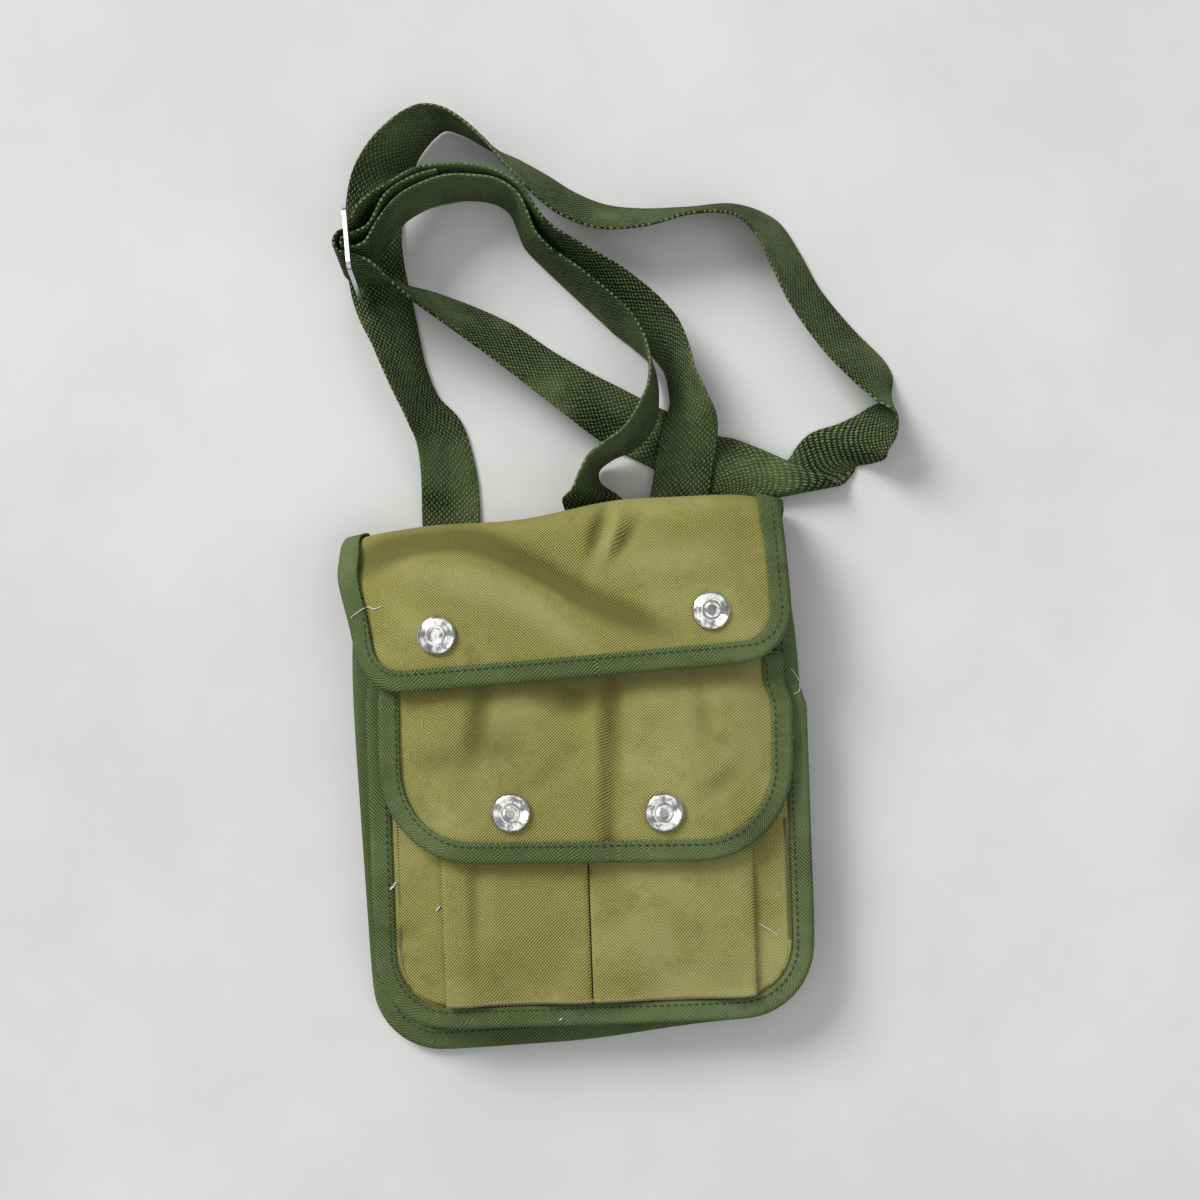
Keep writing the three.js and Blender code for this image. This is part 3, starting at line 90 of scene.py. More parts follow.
# Smooth copies of the part's solids
MERGE = 0.005 * MM
FLAT_ANGLE = math.radians(25)
QUAD_ANGLE = math.radians(60)
CREASE_ANGLE = math.radians(50)
TAPE_CREASE = 0.55
METAL_CREASE = 0.35
METAL_BEVEL = 0.45 * MM

# Leans of the soft body: the back's low corner, and the main flap's ends
CORNER_UP = 4.2 * MM
FLAP_RIGHT_IN = 3.3 * MM
FLAP_LEFT_IN = 3.6 * MM
FLAP_LEFT_BACK = 5.4 * MM

# Threads, which drop onto the cloth from high above it
HIGH_ABOVE = 0.2
SEAM_INSET = 7.3 * MM
THREAD_SIDES = 6
GREEN_THREAD: Colour = (0.035, 0.05, 0.016)
WHITE_THREAD: Colour = (0.75, 0.74, 0.68)


def box_centre(node: str) -> Array:
    """Middle of a node's box."""
    low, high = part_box(node)
    return np.array((low + high) / 2)


SHIFT = box_centre("strap_slide") - SLIDE_CENTRE


def smooth_step(t: Array) -> Array:
    """0 below 0, 1 above 1, and 3 t^2 - 2 t^3 between."""
    c = np.clip(t, 0, 1)
    return c * c * (3 - 2 * c)


def unit(vectors: Array) -> Array:
    """Vectors brought to length 1 along the last axis."""
    return vectors / (np.linalg.norm(vectors, axis=-1, keepdims=True) + TINY)


@dataclass(frozen=True)
class Outline:
    """Plan outline of a panel: a U with round corners, open at the top."""

    x: float
    y: float
    turn: float
    width: float
    rise: float
    drop: float
    corner: float
    taper: float = 0.0
    taper_start: float = 35 * MM
    taper_length: float = 55 * MM
    side_steps: int = 40
    corner_steps: int = 24

    def to_plan(self, across: Array, along: Array) -> Array:
        """Plan points of the panel's own coordinates.

        Args:
            across: distances to the right of the panel's middle line.
            along: distances up from its pivot.

        Returns:
            An (n, 2) array in the frame of the part.
        """
        cos, sin = math.cos(math.radians(self.turn)), math.sin(math.radians(self.turn))
        x = self.x + across * cos - along * sin
        y = self.y + across * sin + along * cos
        return np.stack([x, y], axis=-1) + SHIFT[:2]

    def path(self, inset: float, pitch: float) -> Array:
        """Evenly spaced points along the outline at an inset, from top left round to top right.

        Args:
            inset: distance in from the edge.
            pitch: spacing of the points.

        Returns:
            An (n, 2) array of plan points.
        """
        r = self.corner - inset
        side_along = np.linspace(self.rise, self.corner - self.drop, self.side_steps)
        ease = smooth_step((side_along - self.taper_start) / self.taper_length)
        half = self.width / 2 - self.taper * ease - inset
        angle = np.linspace(0, np.pi / 2, self.corner_steps)
        corner_x = self.width / 2 - self.corner + r * np.cos(angle)
        corner_y = self.corner - self.drop - r * np.sin(angle)
        across = np.concatenate([-half, -corner_x, corner_x[::-1], half[::-1]])
        along = np.concatenate([side_along, corner_y, corner_y[::-1], side_along[::-1]])
        line = self.to_plan(across, along)
        steps = np.r_[0, np.cumsum(np.linalg.norm(np.diff(line, axis=0), axis=1))]
        keep = np.r_[True, np.diff(steps) > 1e-4 * MM]
        at = np.linspace(0, steps[-1], max(int(steps[-1] / pitch), 2))
        return np.stack([np.interp(at, steps[keep], column[keep]) for column in line.T], axis=-1)

    def coordinates(self, points: Array) -> Array:
        """Distances along the outline and in from it.

        Args:
            points: (n, 2) plan points.

        Returns:
            An (n, 2) array of those distances.
        """
        line = self.path(0.0, 1.5 * MM)
        pitch = np.linalg.norm(line[1] - line[0])
        nearest = np.empty((len(points), 2))
        for block in np.array_split(np.arange(len(points)), max(len(points) // 4000, 1)):
            distance = np.linalg.norm(points[block, None] - line[None], axis=2)
            best = distance.argmin(axis=1)
            nearest[block, 0] = best * pitch
            nearest[block, 1] = distance.min(axis=1)
        return nearest

    def wrapped(self, points: Array) -> Array:
        """Yarn coordinates of cloth that turns over the edge: along it, and in plus up.

        Args:
            points: (n, 3) points.

        Returns:
            An (n, 2) array.
        """
        place = self.coordinates(points[:, :2])
        place[:, 1] += points[:, 2]
        return place


BACK = Outline(-3.2 * MM, 20 * MM, 4.0, 190 * MM, 80 * MM, 130.5 * MM, 30 * MM, 7 * MM)
FRONT = Outline(2.1 * MM, 20 * MM, 2.0, 186 * MM, 72 * MM, 119.5 * MM, 32 * MM, 7 * MM)
LID = Outline(1.5 * MM, 20 * MM, 0.8, 173 * MM, 42 * MM, 49.3 * MM, 39 * MM)
FLAP = Outline(-7.7 * MM, 114 * MM, 5.04, 188 * MM, 16 * MM, 66.7 * MM, 22 * MM)

# Stations of the strap: place as shares of its spread and reach, lift of the lower edge in
# webbing thicknesses, and the direction from edge to edge (east, north, up)
STRAP_OUT: Rows = (
    (-0.438, -0.2, 2.6, -1, 0, 0),
    (-0.438, -0.1, 2.2, -1, 0, 0),
    (-0.44, -0.01, 1.0, -1, 0, 0),
    (-0.444, 0.116, 0.55, -0.91, 0.04, 0.41),
    (-0.476, 0.22, 0.55, -0.74, -0.29, 0.6),
    (-0.536, 0.29, 0.55, -0.53, -0.29, 0.8),
    (-0.583, 0.37, 0.55, -0.6, -0.24, 0.76),
    (-0.618, 0.45, 0.55, -0.72, -0.24, 0.64),
    (-0.656, 0.529, 0.55, -0.9, -0.27, 0.34),
    (-0.682, 0.6, 0.55, -0.98, -0.18, 0.06),
    (-0.7, 0.694, 0.55, -1, -0.05, 0.02),
    (-0.696, 0.788, 0.55, -1, 0.1, 0.04),
    (-0.677, 0.853, 0.55, -0.94, 0.2, 0.24),
    (-0.642, 0.9, 0.55, -0.75, 0.35, 0.56),
    (-0.6, 0.941, 0.55, -0.5, 0.38, 0.78),
    (-0.555, 0.974, 0.55, -0.34, 0.36, 0.87),
    (-0.509, 0.994, 0.55, -0.15, 0.3, 0.94),
    (-0.456, 0.999, 0.55, 0, 0.1, 0.99),
    (-0.39, 0.977, 0.55, 0, 0, 1),
    (-0.315, 0.936, 0.55, -0.04, -0.1, 0.99),
    (-0.237, 0.894, 0.55, -0.17, -0.29, 0.94),
    (-0.142, 0.839, 0.55, -0.28, -0.45, 0.85),
    (-0.052, 0.791, 0.55, -0.27, -0.53, 0.8),
    (0.062, 0.758, 0.55, -0.12, -0.57, 0.81),
    (0.198, 0.754, 0.55, 0.03, -0.48, 0.88),
    (0.351, 0.77, 0.55, 0, -0.31, 0.95),
    (0.501, 0.773, 0.55, -0.15, -0.36, 0.92),
    (0.604, 0.73, 0.55, -0.45, -0.37, 0.81),
    (0.672, 0.645, 0.55, -0.57, -0.35, 0.74),
    (0.732, 0.559, 0.55, -0.59, -0.36, 0.72),
    (0.848, 0.445, 0.55, -0.58, -0.47, 0.66),
    (0.938, 0.376, 0.55, -0.6, -0.46, 0.65),
    (0.99, 0.326, 0.55, -0.42, -0.44, 0.79),
    (1.012, 0.28, 0.55, 0, -0.35, 0.93),
    (0.983, 0.238, 0.55, 0.38, -0.55, 0.74),
    (0.92, 0.2, 0.55, 0.68, -0.45, 0.55),
    (0.822, 0.155, 0.55, 1.04, -0.22, 0),
)
STRAP_BACK: Rows = (
    (0.49, 0.128, 1.3, 0.45, 0.9, 0.05),
    (0.408, 0.144, 0.6, 0.4, 0.92, 0),
    (0.242, 0.206, 0.55, 0.45, 0.89, 0),
    (0.135, 0.247, 0.55, 0.47, 0.86, -0.06),
    (-0.002, 0.308, 0.55, 0.47, 0.76, -0.45),
    (-0.141, 0.378, 0.55, 0.42, 0.65, -0.63),
    (-0.267, 0.446, 0.8, 0.38, 0.62, -0.68),
    (-0.4, 0.503, 1.8, 0.27, 0.5, -0.82),
    (-0.508, 0.544, 3.0, 0.18, 0.35, -0.92),
    (-0.6, 0.577, 5.2, 0.1, 0.1, -0.99),
    (-0.68, 0.602, 7.4, 0, -0.2, -0.98),
)
STRAP_DOWN: Rows = (
    (-0.71, 0.742, 5.3, 0, -0.27, -0.96),
    (-0.617, 0.8, 4.0, 0, -0.2, -0.98),
    (-0.538, 0.839, 3.2, 0, -0.15, -0.99),
    (-0.447, 0.853, 1.8, -0.05, -0.15, -0.99),
    (-0.363, 0.852, 0.8, -0.08, -0.18, -0.98),
    (-0.285, 0.84, 0.55, -0.12, -0.14, -0.98),
    (-0.216, 0.806, 0.55, -0.15, -0.13, -0.98),
    (-0.17, 0.756, 0.55, -0.18, -0.09, -0.98),
    (-0.125, 0.711, 0.55, -0.18, -0.14, -0.97),
    (-0.009, 0.637, 0.55, -0.28, -0.38, -0.88),
    (0.086, 0.586, 0.55, -0.38, -0.5, -0.78),
    (0.205, 0.508, 0.55, -0.46, -0.53, -0.71),
    (0.269, 0.455, 0.55, -0.42, -0.5, -0.76),
    (0.306, 0.402, 0.55, -0.38, -0.34, -0.86),
    (0.324, 0.353, 1.2, -0.42, -0.15, -0.89),
    (0.348, 0.291, 2.0, -0.6, -0.1, -0.79),
    (0.35, 0.209, 2.4, -0.96, -0.1, -0.25),
    (0.338, 0.139, 2.45, -1, -0.05, 0),
    (0.323, 0.062, 2.3, -1, -0.04, 0),
    (0.285, -0.05, 0.55, -1, 0, 0),
)
STRAP_RETURN: Rows = (
    (0.165, -0.065, 3.7, -0.96, -0.36, 0),
    (0.085, -0.01, 2.2, -0.86, -0.5, 0),
    (0.036, 0.038, 1.0, -0.85, -0.1, 0.45),
    (0.016, 0.08, 0.7, -0.45, -0.1, 0.88),
    (0.034, 0.133, 0.9, -0.2, 0.14, 0.97),
    (0.08, 0.163, 2.2, -0.16, 0.2, 0.97),
    (0.154, 0.197, 2.7, -0.23, 0.26, 0.94),
    (0.205, 0.249, 2.6, -0.3, 0.24, 0.92),
    (0.23, 0.316, 2.0, -0.2, 0.06, 0.97),
    (0.223, 0.391, 0.8, -0.07, 0, 0.99),
    (0.183, 0.444, 0.55, 0.12, 0.13, 0.98),
    (0.117, 0.499, 0.55, 0.25, 0.24, 0.94),
    (0.028, 0.56, 0.55, 0.24, 0.22, 0.95),
    (-0.048, 0.609, 0.55, 0.2, 0.18, 0.96),
    (-0.119, 0.653, 0.55, 0.17, 0.1, 0.98),
    (-0.172, 0.697, 0.55, 0.2, 0.08, 0.98),
    (-0.197, 0.743, 0.55, 0.2, 0.06, 0.96),
    (-0.226, 0.788, 0.55, 0.18, 0.1, 0.95),
    (-0.285, 0.818, 0.6, 0.12, 0.16, 0.94),
    (-0.371, 0.826, 1.1, 0.08, 0.18, 0.95),
    (-0.448, 0.819, 2.1, 0.05, 0.23, 0.97),
    (-0.522, 0.798, 3.2, 0, 0.2, 0.98),
    (-0.592, 0.762, 4.4, 0, 0.22, 0.98),
    (-0.652, 0.7, 5.6, 0, 0.27, 0.96),
    (-0.7, 0.64, 6.8, 0.03, 0.29, 0.96),
)
STRAP_TAIL: Rows = (
    (-0.69, 0.685, 5.7, 0.03, 0.28, 0.96),
    (-0.625, 0.772, 4.6, 0, 0.22, 0.98),
    (-0.538, 0.818, 3.2, 0, 0.2, 0.98),
    (-0.47, 0.836, 2.3, 0.03, 0.2, 0.98),
)


class Finish(Enum):
    """Materials of the pouch, by the part's own material slots."""

    CANVAS = "canvas"
    TAPE = "tape"
    WEBBING = "webbing"
    NICKEL = "nickel"


@dataclass(frozen=True)
class ClothFinish:
    """Colours and yarn sizes of a woven cloth, how strongly its marks show, and how strongly painted
    shade darkens the valleys of its folds.
    """

    name: str
    light: Colour
    dark: Colour
    faded: Colour
    pitch: float
    depth: float
    twill: bool
    roughness: float = 0.95
    uses_uv: bool = False
    fading: float = 0.45
    soiling: float = 0.5
    # Painted shade in the valleys of the folds: its share, and how dark its tones are against the
    # cloth's own
    shading: float = 0.75
    shadow: float = 0.42
    # How much paler the ridges of the folds are
    ridge_paling: float = 0.35
    slubs: float = 0.35
    lint: float = 0.25
    lint_colour: Colour = (0.55, 0.53, 0.42)
    specular: float = 0.12
    bump: float = 0.9


@dataclass(frozen=True)
class MetalFinish:
    """Colours and wear of a plated metal."""

    name: str
    bright: Colour
    tarnish: Colour
    roughness: float
    dents: float
    tarnishing: float = 0.7
    dulling: float = 0.25
    scratching: float = 0.15
    bump: float = 0.5


CANVAS = ClothFinish(
    name="olive_canvas",
    light=(0.345, 0.33, 0.1),
    dark=(0.095, 0.088, 0.018),
    faded=(0.4, 0.385, 0.16),
    pitch=1.32 * MM,
    depth=0.26 * MM,
    twill=True,
)
CANVAS_WALL = replace(CANVAS, name="olive_canvas_wall", uses_uv=True)
TAPE = ClothFinish(
    name="green_tape",
    light=(0.12, 0.165, 0.065),
    dark=(0.026, 0.042, 0.012),
    faded=(0.16, 0.2, 0.09),
    pitch=1.5 * MM,
    depth=0.3 * MM,
    twill=True,
    roughness=0.92,
    uses_uv=True,
)
WEBBING = ClothFinish(
    name="green_webbing",
    light=(0.14, 0.19, 0.075),
    dark=(0.01, 0.018, 0.004),
    faded=(0.19, 0.24, 0.1),
    pitch=2.2 * MM,
    depth=0.7 * MM,
    twill=False,
    roughness=0.9,
    uses_uv=True,
)
NICKEL = MetalFinish("plated_nickel", (0.84, 0.83, 0.8), (0.1, 0.095, 0.085), 0.1, 0.34 * MM)
SLIDE_STEEL = MetalFinish("bright_steel", (0.66, 0.66, 0.66), (0.3, 0.29, 0.28), 0.24, 0.02 * MM)


class Graph:
    """Short calls for building a shader node tree."""

    def __init__(self, tree: Tree) -> None:
        self.tree = tree

    def node(self, kind: str, **settings: object) -> Node:
        """Adds a node.

        Args:
            kind: Blender's name of the node type, without its prefix.
            settings: attributes of the node.

        Returns:
            The new node.
        """
        node = self.tree.nodes.new(f"ShaderNode{kind}")
        for key, value in settings.items():
            setattr(node, key, value)
        return node

    def put(self, socket: Socket, value: object) -> None:
        """Links or sets an input.

        Args:
            socket: the input.
            value: an output socket, a number or a tuple.
        """
        if isinstance(value, Socket):
            self.tree.links.new(value, socket)
        else:
            socket.default_value = value

    def math(self, operation: str, a: object, b: object = 0.0, c: object = 0.0) -> Socket:
        """One step of arithmetic.

        Args:
            operation: name of the Math node's operation.
            a: first input.
            b: second input.
            c: third input, where the operation has one.

        Returns:
            The result's socket.
        """
        node = self.node("Math", operation=operation)
        for socket, value in zip(node.inputs, (a, b, c)):
            self.put(socket, value)
        return node.outputs[0]

    def mix(self, factor: object, a: object, b: object) -> Socket:
        """Mixes two colours.

        Args:
            factor: share of the second colour.
            a: first colour, as a socket or three numbers.
            b: second colour, likewise.

        Returns:
            The mixed colour's socket.
        """
        node = self.node("Mix", data_type="RGBA")
        self.put(node.inputs[0], factor)
        for socket, colour in ((node.inputs[6], a), (node.inputs[7], b)):
            self.put(socket, colour if isinstance(colour, Socket) else (*colour, 1))
        return node.outputs[2]

    def split(self, vector: Socket) -> tuple[Socket, ...]:
        """Parts of a vector.

        Args:
            vector: the vector's socket.

        Returns:
            The sockets of x, y and z.
        """
        node = self.node("SeparateXYZ")
        self.put(node.inputs[0], vector)
        return tuple(node.outputs)

    def stretch(self, vector: Socket, along: float) -> Socket:
        """Coordinates that draw a pattern out along y.

        Args:
            vector: the coordinates.
            along: their scale along y.

        Returns:
            The stretched coordinates' socket.
        """
        node = self.node("Mapping")
        self.put(node.inputs["Vector"], vector)
        self.put(node.inputs["Scale"], (1.0, along, 1.0))
        return node.outputs[0]

    def tint(self, base: Socket, mask: Socket, share: float, colour: object) -> Socket:
        """Lays a colour over the base where a mask is high, as strongly as its share says."""
        return self.mix(self.math("MULTIPLY", mask, share), base, colour)

    def noise(self, vector: object, scale: float, detail: float = 3.0, rough: float = 0.5) -> Socket:
        """Fractal noise from 0 to 1.

        Args:
            vector: coordinates.
            scale: its scale, in turns per metre.
            detail: number of octaves.
            rough: strength of the finer octaves.

        Returns:
            The value's socket.
        """
        node = self.node("TexNoise")
        self.put(node.inputs["Vector"], vector)
        self.put(node.inputs["Scale"], scale)
        self.put(node.inputs["Detail"], detail)
        self.put(node.inputs["Roughness"], rough)
        return node.outputs["Fac"]

    def ramp(self, value: object, low: float, high: float) -> Socket:
        """Smooth step of a value from low to high.

        Args:
            value: the input.
            low: value that becomes 0.
            high: value that becomes 1.

        Returns:
            The result's socket.
        """
        node = self.node("MapRange", interpolation_type="SMOOTHSTEP")
        self.put(node.inputs["Value"], value)
        self.put(node.inputs["From Min"], low)
        self.put(node.inputs["From Max"], high)
        return node.outputs["Result"]

    def bump(self, shader: Node, height: Socket, strength: float, depth: float) -> None:
        """Gives a shader a relief.

        Args:
            shader: the Principled shader.
            height: the relief, from 0 to 1.
            strength: how strongly it shows.
            depth: height of 1, in metres.
        """
        node = self.node("Bump")
        node.inputs["Strength"].default_value = strength
        node.inputs["Distance"].default_value = depth
        self.put(node.inputs["Height"], height)
        self.put(shader.inputs["Normal"], node.outputs[0])


def new_group(
    name: str, inputs: dict[str, str], outputs: Sequence[str]
) -> tuple[Tree, Graph, Node, Node]:
    """Makes an empty shader node group.

    Args:
        name: the group's name.
        inputs: names and socket types of its inputs.
        outputs: names of its outputs, which are all numbers.

    Returns:
        The group, its graph, and its input and output nodes.
    """
    group = bpy.data.node_groups.new(name, "ShaderNodeTree")
    for direction, sockets in (("INPUT", inputs), ("OUTPUT", dict.fromkeys(outputs, "Float"))):
        for label, kind in sockets.items():
            group.interface.new_socket(label, in_out=direction, socket_type=f"NodeSocket{kind}")
    return group, Graph(group), group.nodes.new("NodeGroupInput"), group.nodes.new("NodeGroupOutput")


def weave_group() -> Tree:
    """Woven yarns: a diagonal twill or staggered picks, with slubs and stray fibres.

    Returns:
        The node group, with a height and two masks.
    """
    inputs = {"Vector": "Vector", "Pitch": "Float", "Twill": "Float"}
    group, g, start, end = new_group("woven_yarns", inputs, ("Height", "Shade", "Slubs"))
    vector = start.outputs["Vector"]
    wobble = g.noise(vector, 300.0, rough=0.6)
    parts = g.split(vector)
    turn = g.math("DIVIDE", math.tau, start.outputs["Pitch"])
    x = g.math("ADD", g.math("MULTIPLY", parts[0], turn), g.math("MULTIPLY", wobble, 6.5))
    y = g.math("ADD", g.math("MULTIPLY", parts[1], turn), g.math("MULTIPLY", wobble, 5.0))
    diagonal = g.math("MULTIPLY", g.math("SINE", g.math("SUBTRACT", x, y)), 0.32)
    fine = g.math("MULTIPLY", g.math("SINE", g.math("ADD", x, y)), 0.2)
    across = g.math("SINE", x)
    stagger = g.math("MULTIPLY", g.math("SIGN", across), math.pi / 2)
    picks = g.math("SINE", g.math("MULTIPLY_ADD", y, 0.9, stagger))
    plain = g.math("MULTIPLY", g.math("ABSOLUTE", across), g.math("MULTIPLY_ADD", picks, 0.5, 0.5))
    height = g.node("Mix", data_type="FLOAT")
    g.put(height.inputs[0], start.outputs["Twill"])
    g.put(height.inputs[2], plain)
    g.put(height.inputs[3], g.math("ADD", g.math("ADD", diagonal, fine), 0.5))
    fuzz = g.math("SUBTRACT", g.noise(vector, 2600.0, 2.0, 0.7), 0.5)
    total = g.math("MULTIPLY_ADD", fuzz, 0.5, height.outputs[0])
    g.put(end.inputs["Height"], total)
    g.put(end.inputs["Shade"], g.ramp(total, 0.2, 0.76))
    g.put(end.inputs["Slubs"], g.ramp(g.noise(g.stretch(vector, 0.14), 900.0, 1.0), 0.66, 0.78))
    return group


def age_group() -> Tree:
    """Fading, dark handling marks and lint, each from a noise of its own scale.

    Returns:
        The node group, with three masks.
    """
    group, g, start, end = new_group("age_marks", {"Vector": "Vector"}, ("Faded", "Marks", "Lint"))
    vector = start.outputs["Vector"]
    g.put(end.inputs["Faded"], g.ramp(g.noise(vector, 16.0, 5.0, 0.6), 0.42, 0.68))
    spots = g.ramp(g.noise(vector, 70.0, 3.0, 0.65), 0.56, 0.74)
    g.put(end.inputs["Marks"], g.math("MULTIPLY", spots, 0.6))
    g.put(end.inputs["Lint"], g.ramp(g.noise(vector, 520.0, 2.0, 0.6), 0.73, 0.78))
    return group


def wear_group() -> Tree:
    """Tarnish, fine scratches and small hammered dents of plated metal.

    Returns:
        The node group, with two masks and a height.
    """
    outputs = ("Tarnish", "Scratch", "Height")
    group, g, start, end = new_group("metal_wear", {"Vector": "Vector"}, outputs)
    vector = start.outputs["Vector"]
    g.put(end.inputs["Tarnish"], g.ramp(g.noise(vector, 330.0, 4.0, 0.62), 0.5, 0.7))
    g.put(end.inputs["Scratch"], g.ramp(g.noise(g.stretch(vector, 0.08), 1900.0, 1.0), 0.6, 0.72))
    g.put(end.inputs["Height"], g.noise(vector, 260.0, 1.0))
    return group


class Materials:
    """Makes each finish once, from the shared node groups."""

    def __init__(self) -> None:
        self.weave = weave_group()
        self.age = age_group()
        self.wear = wear_group()

    def start(self, name: str) -> tuple[Material, Graph, Node]:
        """Opens a new material with its main shader.

        Args:
            name: the material's name.

        Returns:
            The material, its graph and its Principled shader.
        """
        material = bpy.data.materials.new(name)
        material.use_nodes = True
        material.node_tree.nodes.clear()
        graph = Graph(material.node_tree)
        shader = graph.node("BsdfPrincipled")
        graph.put(graph.node("OutputMaterial").inputs["Surface"], shader.outputs[0])
        return material, graph, shader

    def group(self, graph: Graph, tree: Tree, **inputs: object) -> Node:
        """Places a shared group in a material.

        Args:
            graph: the material's graph.
            tree: the group.
            inputs: values or sockets for the group's inputs.

        Returns:
            The group's node.
        """
        node = graph.node("Group", node_tree=tree)
        for label, value in inputs.items():
            graph.put(node.inputs[label], value)
        return node

    @cache
    def cloth(self, finish: ClothFinish) -> Material:
        """A woven cloth.

        Args:
            finish: its colours and yarns.

        Returns:
            The material.
        """
        material, g, shader = self.start(finish.name)
        body = g.node("TexCoord").outputs["Object"]
        if finish.uses_uv:
            weave_at = g.node("UVMap", uv_map="yarns").outputs[0]
        else:
            x, y, z = g.split(body)
            join = g.node("CombineXYZ")
            g.put(join.inputs[0], x)
            g.put(join.inputs[1], g.math("SUBTRACT", y, z))
            weave_at = join.outputs[0]
        twill = float(finish.twill)
        yarns = self.group(g, self.weave, Vector=weave_at, Pitch=finish.pitch, Twill=twill)
        marks = self.group(g, self.age, Vector=body)
        hollow = g.node("Attribute", attribute_name="hollow").outputs["Fac"]
        shade = yarns.outputs["Shade"]
        dim = [tuple(finish.shadow * c for c in colour) for colour in (finish.dark, finish.light)]
        tone = g.mix(shade, finish.dark, finish.light)
        tone = g.tint(tone, marks.outputs["Faded"], finish.fading, finish.faded)
        tone = g.tint(tone, marks.outputs["Marks"], finish.soiling, finish.dark)
        # Painted shade: the valleys of the folds take the darkened tones in dim
        tone = g.tint(tone, g.ramp(hollow, 0.0, 1.1), finish.shading, g.mix(shade, *dim))
        # Paler on the ridges of the folds
        tone = g.tint(tone, g.ramp(hollow, 0.0, -1.0), finish.ridge_paling, finish.faded)
        tone = g.tint(tone, yarns.outputs["Slubs"], finish.slubs, finish.dark)
        tone = g.tint(tone, marks.outputs["Lint"], finish.lint, finish.lint_colour)
        g.put(shader.inputs["Base Color"], tone)
        shader.inputs["Roughness"].default_value = finish.roughness
        shader.inputs["Specular IOR Level"].default_value = finish.specular
        g.bump(shader, yarns.outputs["Height"], finish.bump, finish.depth)
        return material

    @cache
    def metal(self, finish: MetalFinish) -> Material:
        """A plated metal.

        Args:
            finish: its colours and wear.

        Returns:
            The material.
        """
        material, g, shader = self.start(finish.name)
        wear = self.group(g, self.wear, Vector=g.node("TexCoord").outputs["Object"])
        tarnish = g.math("MULTIPLY", wear.outputs["Tarnish"], finish.tarnishing)
        g.put(shader.inputs["Base Color"], g.mix(tarnish, finish.bright, finish.tarnish))
        rough = g.math("MULTIPLY_ADD", wear.outputs["Scratch"], finish.scratching, finish.roughness)
        g.put(shader.inputs["Roughness"], g.math("MULTIPLY_ADD", tarnish, finish.dulling, rough))
        shader.inputs["Metallic"].default_value = 1.0
        g.bump(shader, wear.outputs["Height"], finish.bump, finish.dents)
        return material

    @cache
    def thread(self, name: str, colour: Colour) -> Material:
        """Sewing thread with a fine twist.

        Args:
            name: the material's name.
            colour: its colour.

        Returns:
            The material.
        """
        material, g, shader = self.start(name)
        speck = g.noise(g.node("TexCoord").outputs["Object"], 1800.0, 2.0, 0.7)
        g.put(shader.inputs["Base Color"], g.mix(speck, tuple(0.55 * c for c in colour), colour))
        shader.inputs["Roughness"].default_value = 0.85
        g.bump(shader, speck, 0.5, 0.1 * MM)
        return material

    def floor(self) -> Material:
        """Pale plain floor.

        Returns:
            The material.
        """
        material, g, shader = self.start("pale_floor")
        tone = g.ramp(g.noise(g.node("TexCoord").outputs["Object"], 6.0, 6.0, 0.6), 0.3, 0.7)
        g.put(shader.inputs["Base Color"], g.mix(tone, (0.545, 0.543, 0.535), (0.61, 0.608, 0.6)))
        shader.inputs["Roughness"].default_value = 0.8
        return material


def place(name: str, data: bpy.types.ID) -> Thing:
    """Puts a mesh, lamp or camera into a new object in the scene.

    Args:
        name: the object's name.
        data: what it holds.

    Returns:
        The object.
    """
    thing = bpy.data.objects.new(name, data)
    bpy.context.collection.objects.link(thing)
    return thing


def shade_faces(mesh: bpy.types.Mesh, smooth: bool) -> None:
    """Makes all faces of a mesh smooth or flat."""
    mesh.polygons.foreach_set("use_smooth", np.full(len(mesh.polygons), smooth))


def make_object(name: str, points: Array, faces: Array, uv: Array | None = None) -> Thing:
    """Puts arrays of points and faces into a new smooth object.

    Args:
        name: the object's name.
        points: (n, 3) array.
        faces: (m, 4) or (m, 3) array of point numbers.
        uv: (n, 2) array of yarn coordinates, or None.

    Returns:
        The object, linked to the scene.
    """
    mesh = bpy.data.meshes.new(name)
    mesh.from_pydata(points, [], faces.tolist())
    shade_faces(mesh, True)
    if uv is not None:
        set_uv(mesh, uv)
    return place(name, mesh)


def set_uv(mesh: bpy.types.Mesh, uv: Array) -> None:
    """Writes per-point yarn coordinates as a UV map.

    Args:
        mesh: the mesh.
        uv: (n, 2) array, one row for each point.
    """
    corners = np.empty(len(mesh.loops), dtype=np.int32)
    mesh.loops.foreach_get("vertex_index", corners)
    layer = mesh.uv_layers.new(name="yarns")
    layer.data.foreach_set("uv", uv[corners].astype(np.float32).ravel())


def finish_piece(thing: Thing, material: Material, finish: Finish, *nodes: str) -> None:
    """Gives a piece its material, hangs it under the root and hides the nodes that it replaces.

    Args:
        thing: the piece.
        material: its material.
        finish: the part's material slot; not used.
        nodes: nodes of the part that it replaces.
    """
    thing.data.materials.clear()
    thing.data.materials.append(material)
    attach(thing, "root")
    if nodes:
        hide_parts(*nodes)
    log.info("%s: %d faces", thing.name, len(thing.data.polygons))


@dataclass(frozen=True)
class Fold:
    """One long dent or ridge in cloth, in the drawing's plan: mm, and degrees from +X."""

    x: float
    y: float
    length: float
    width: float
    turn: float
    height: float


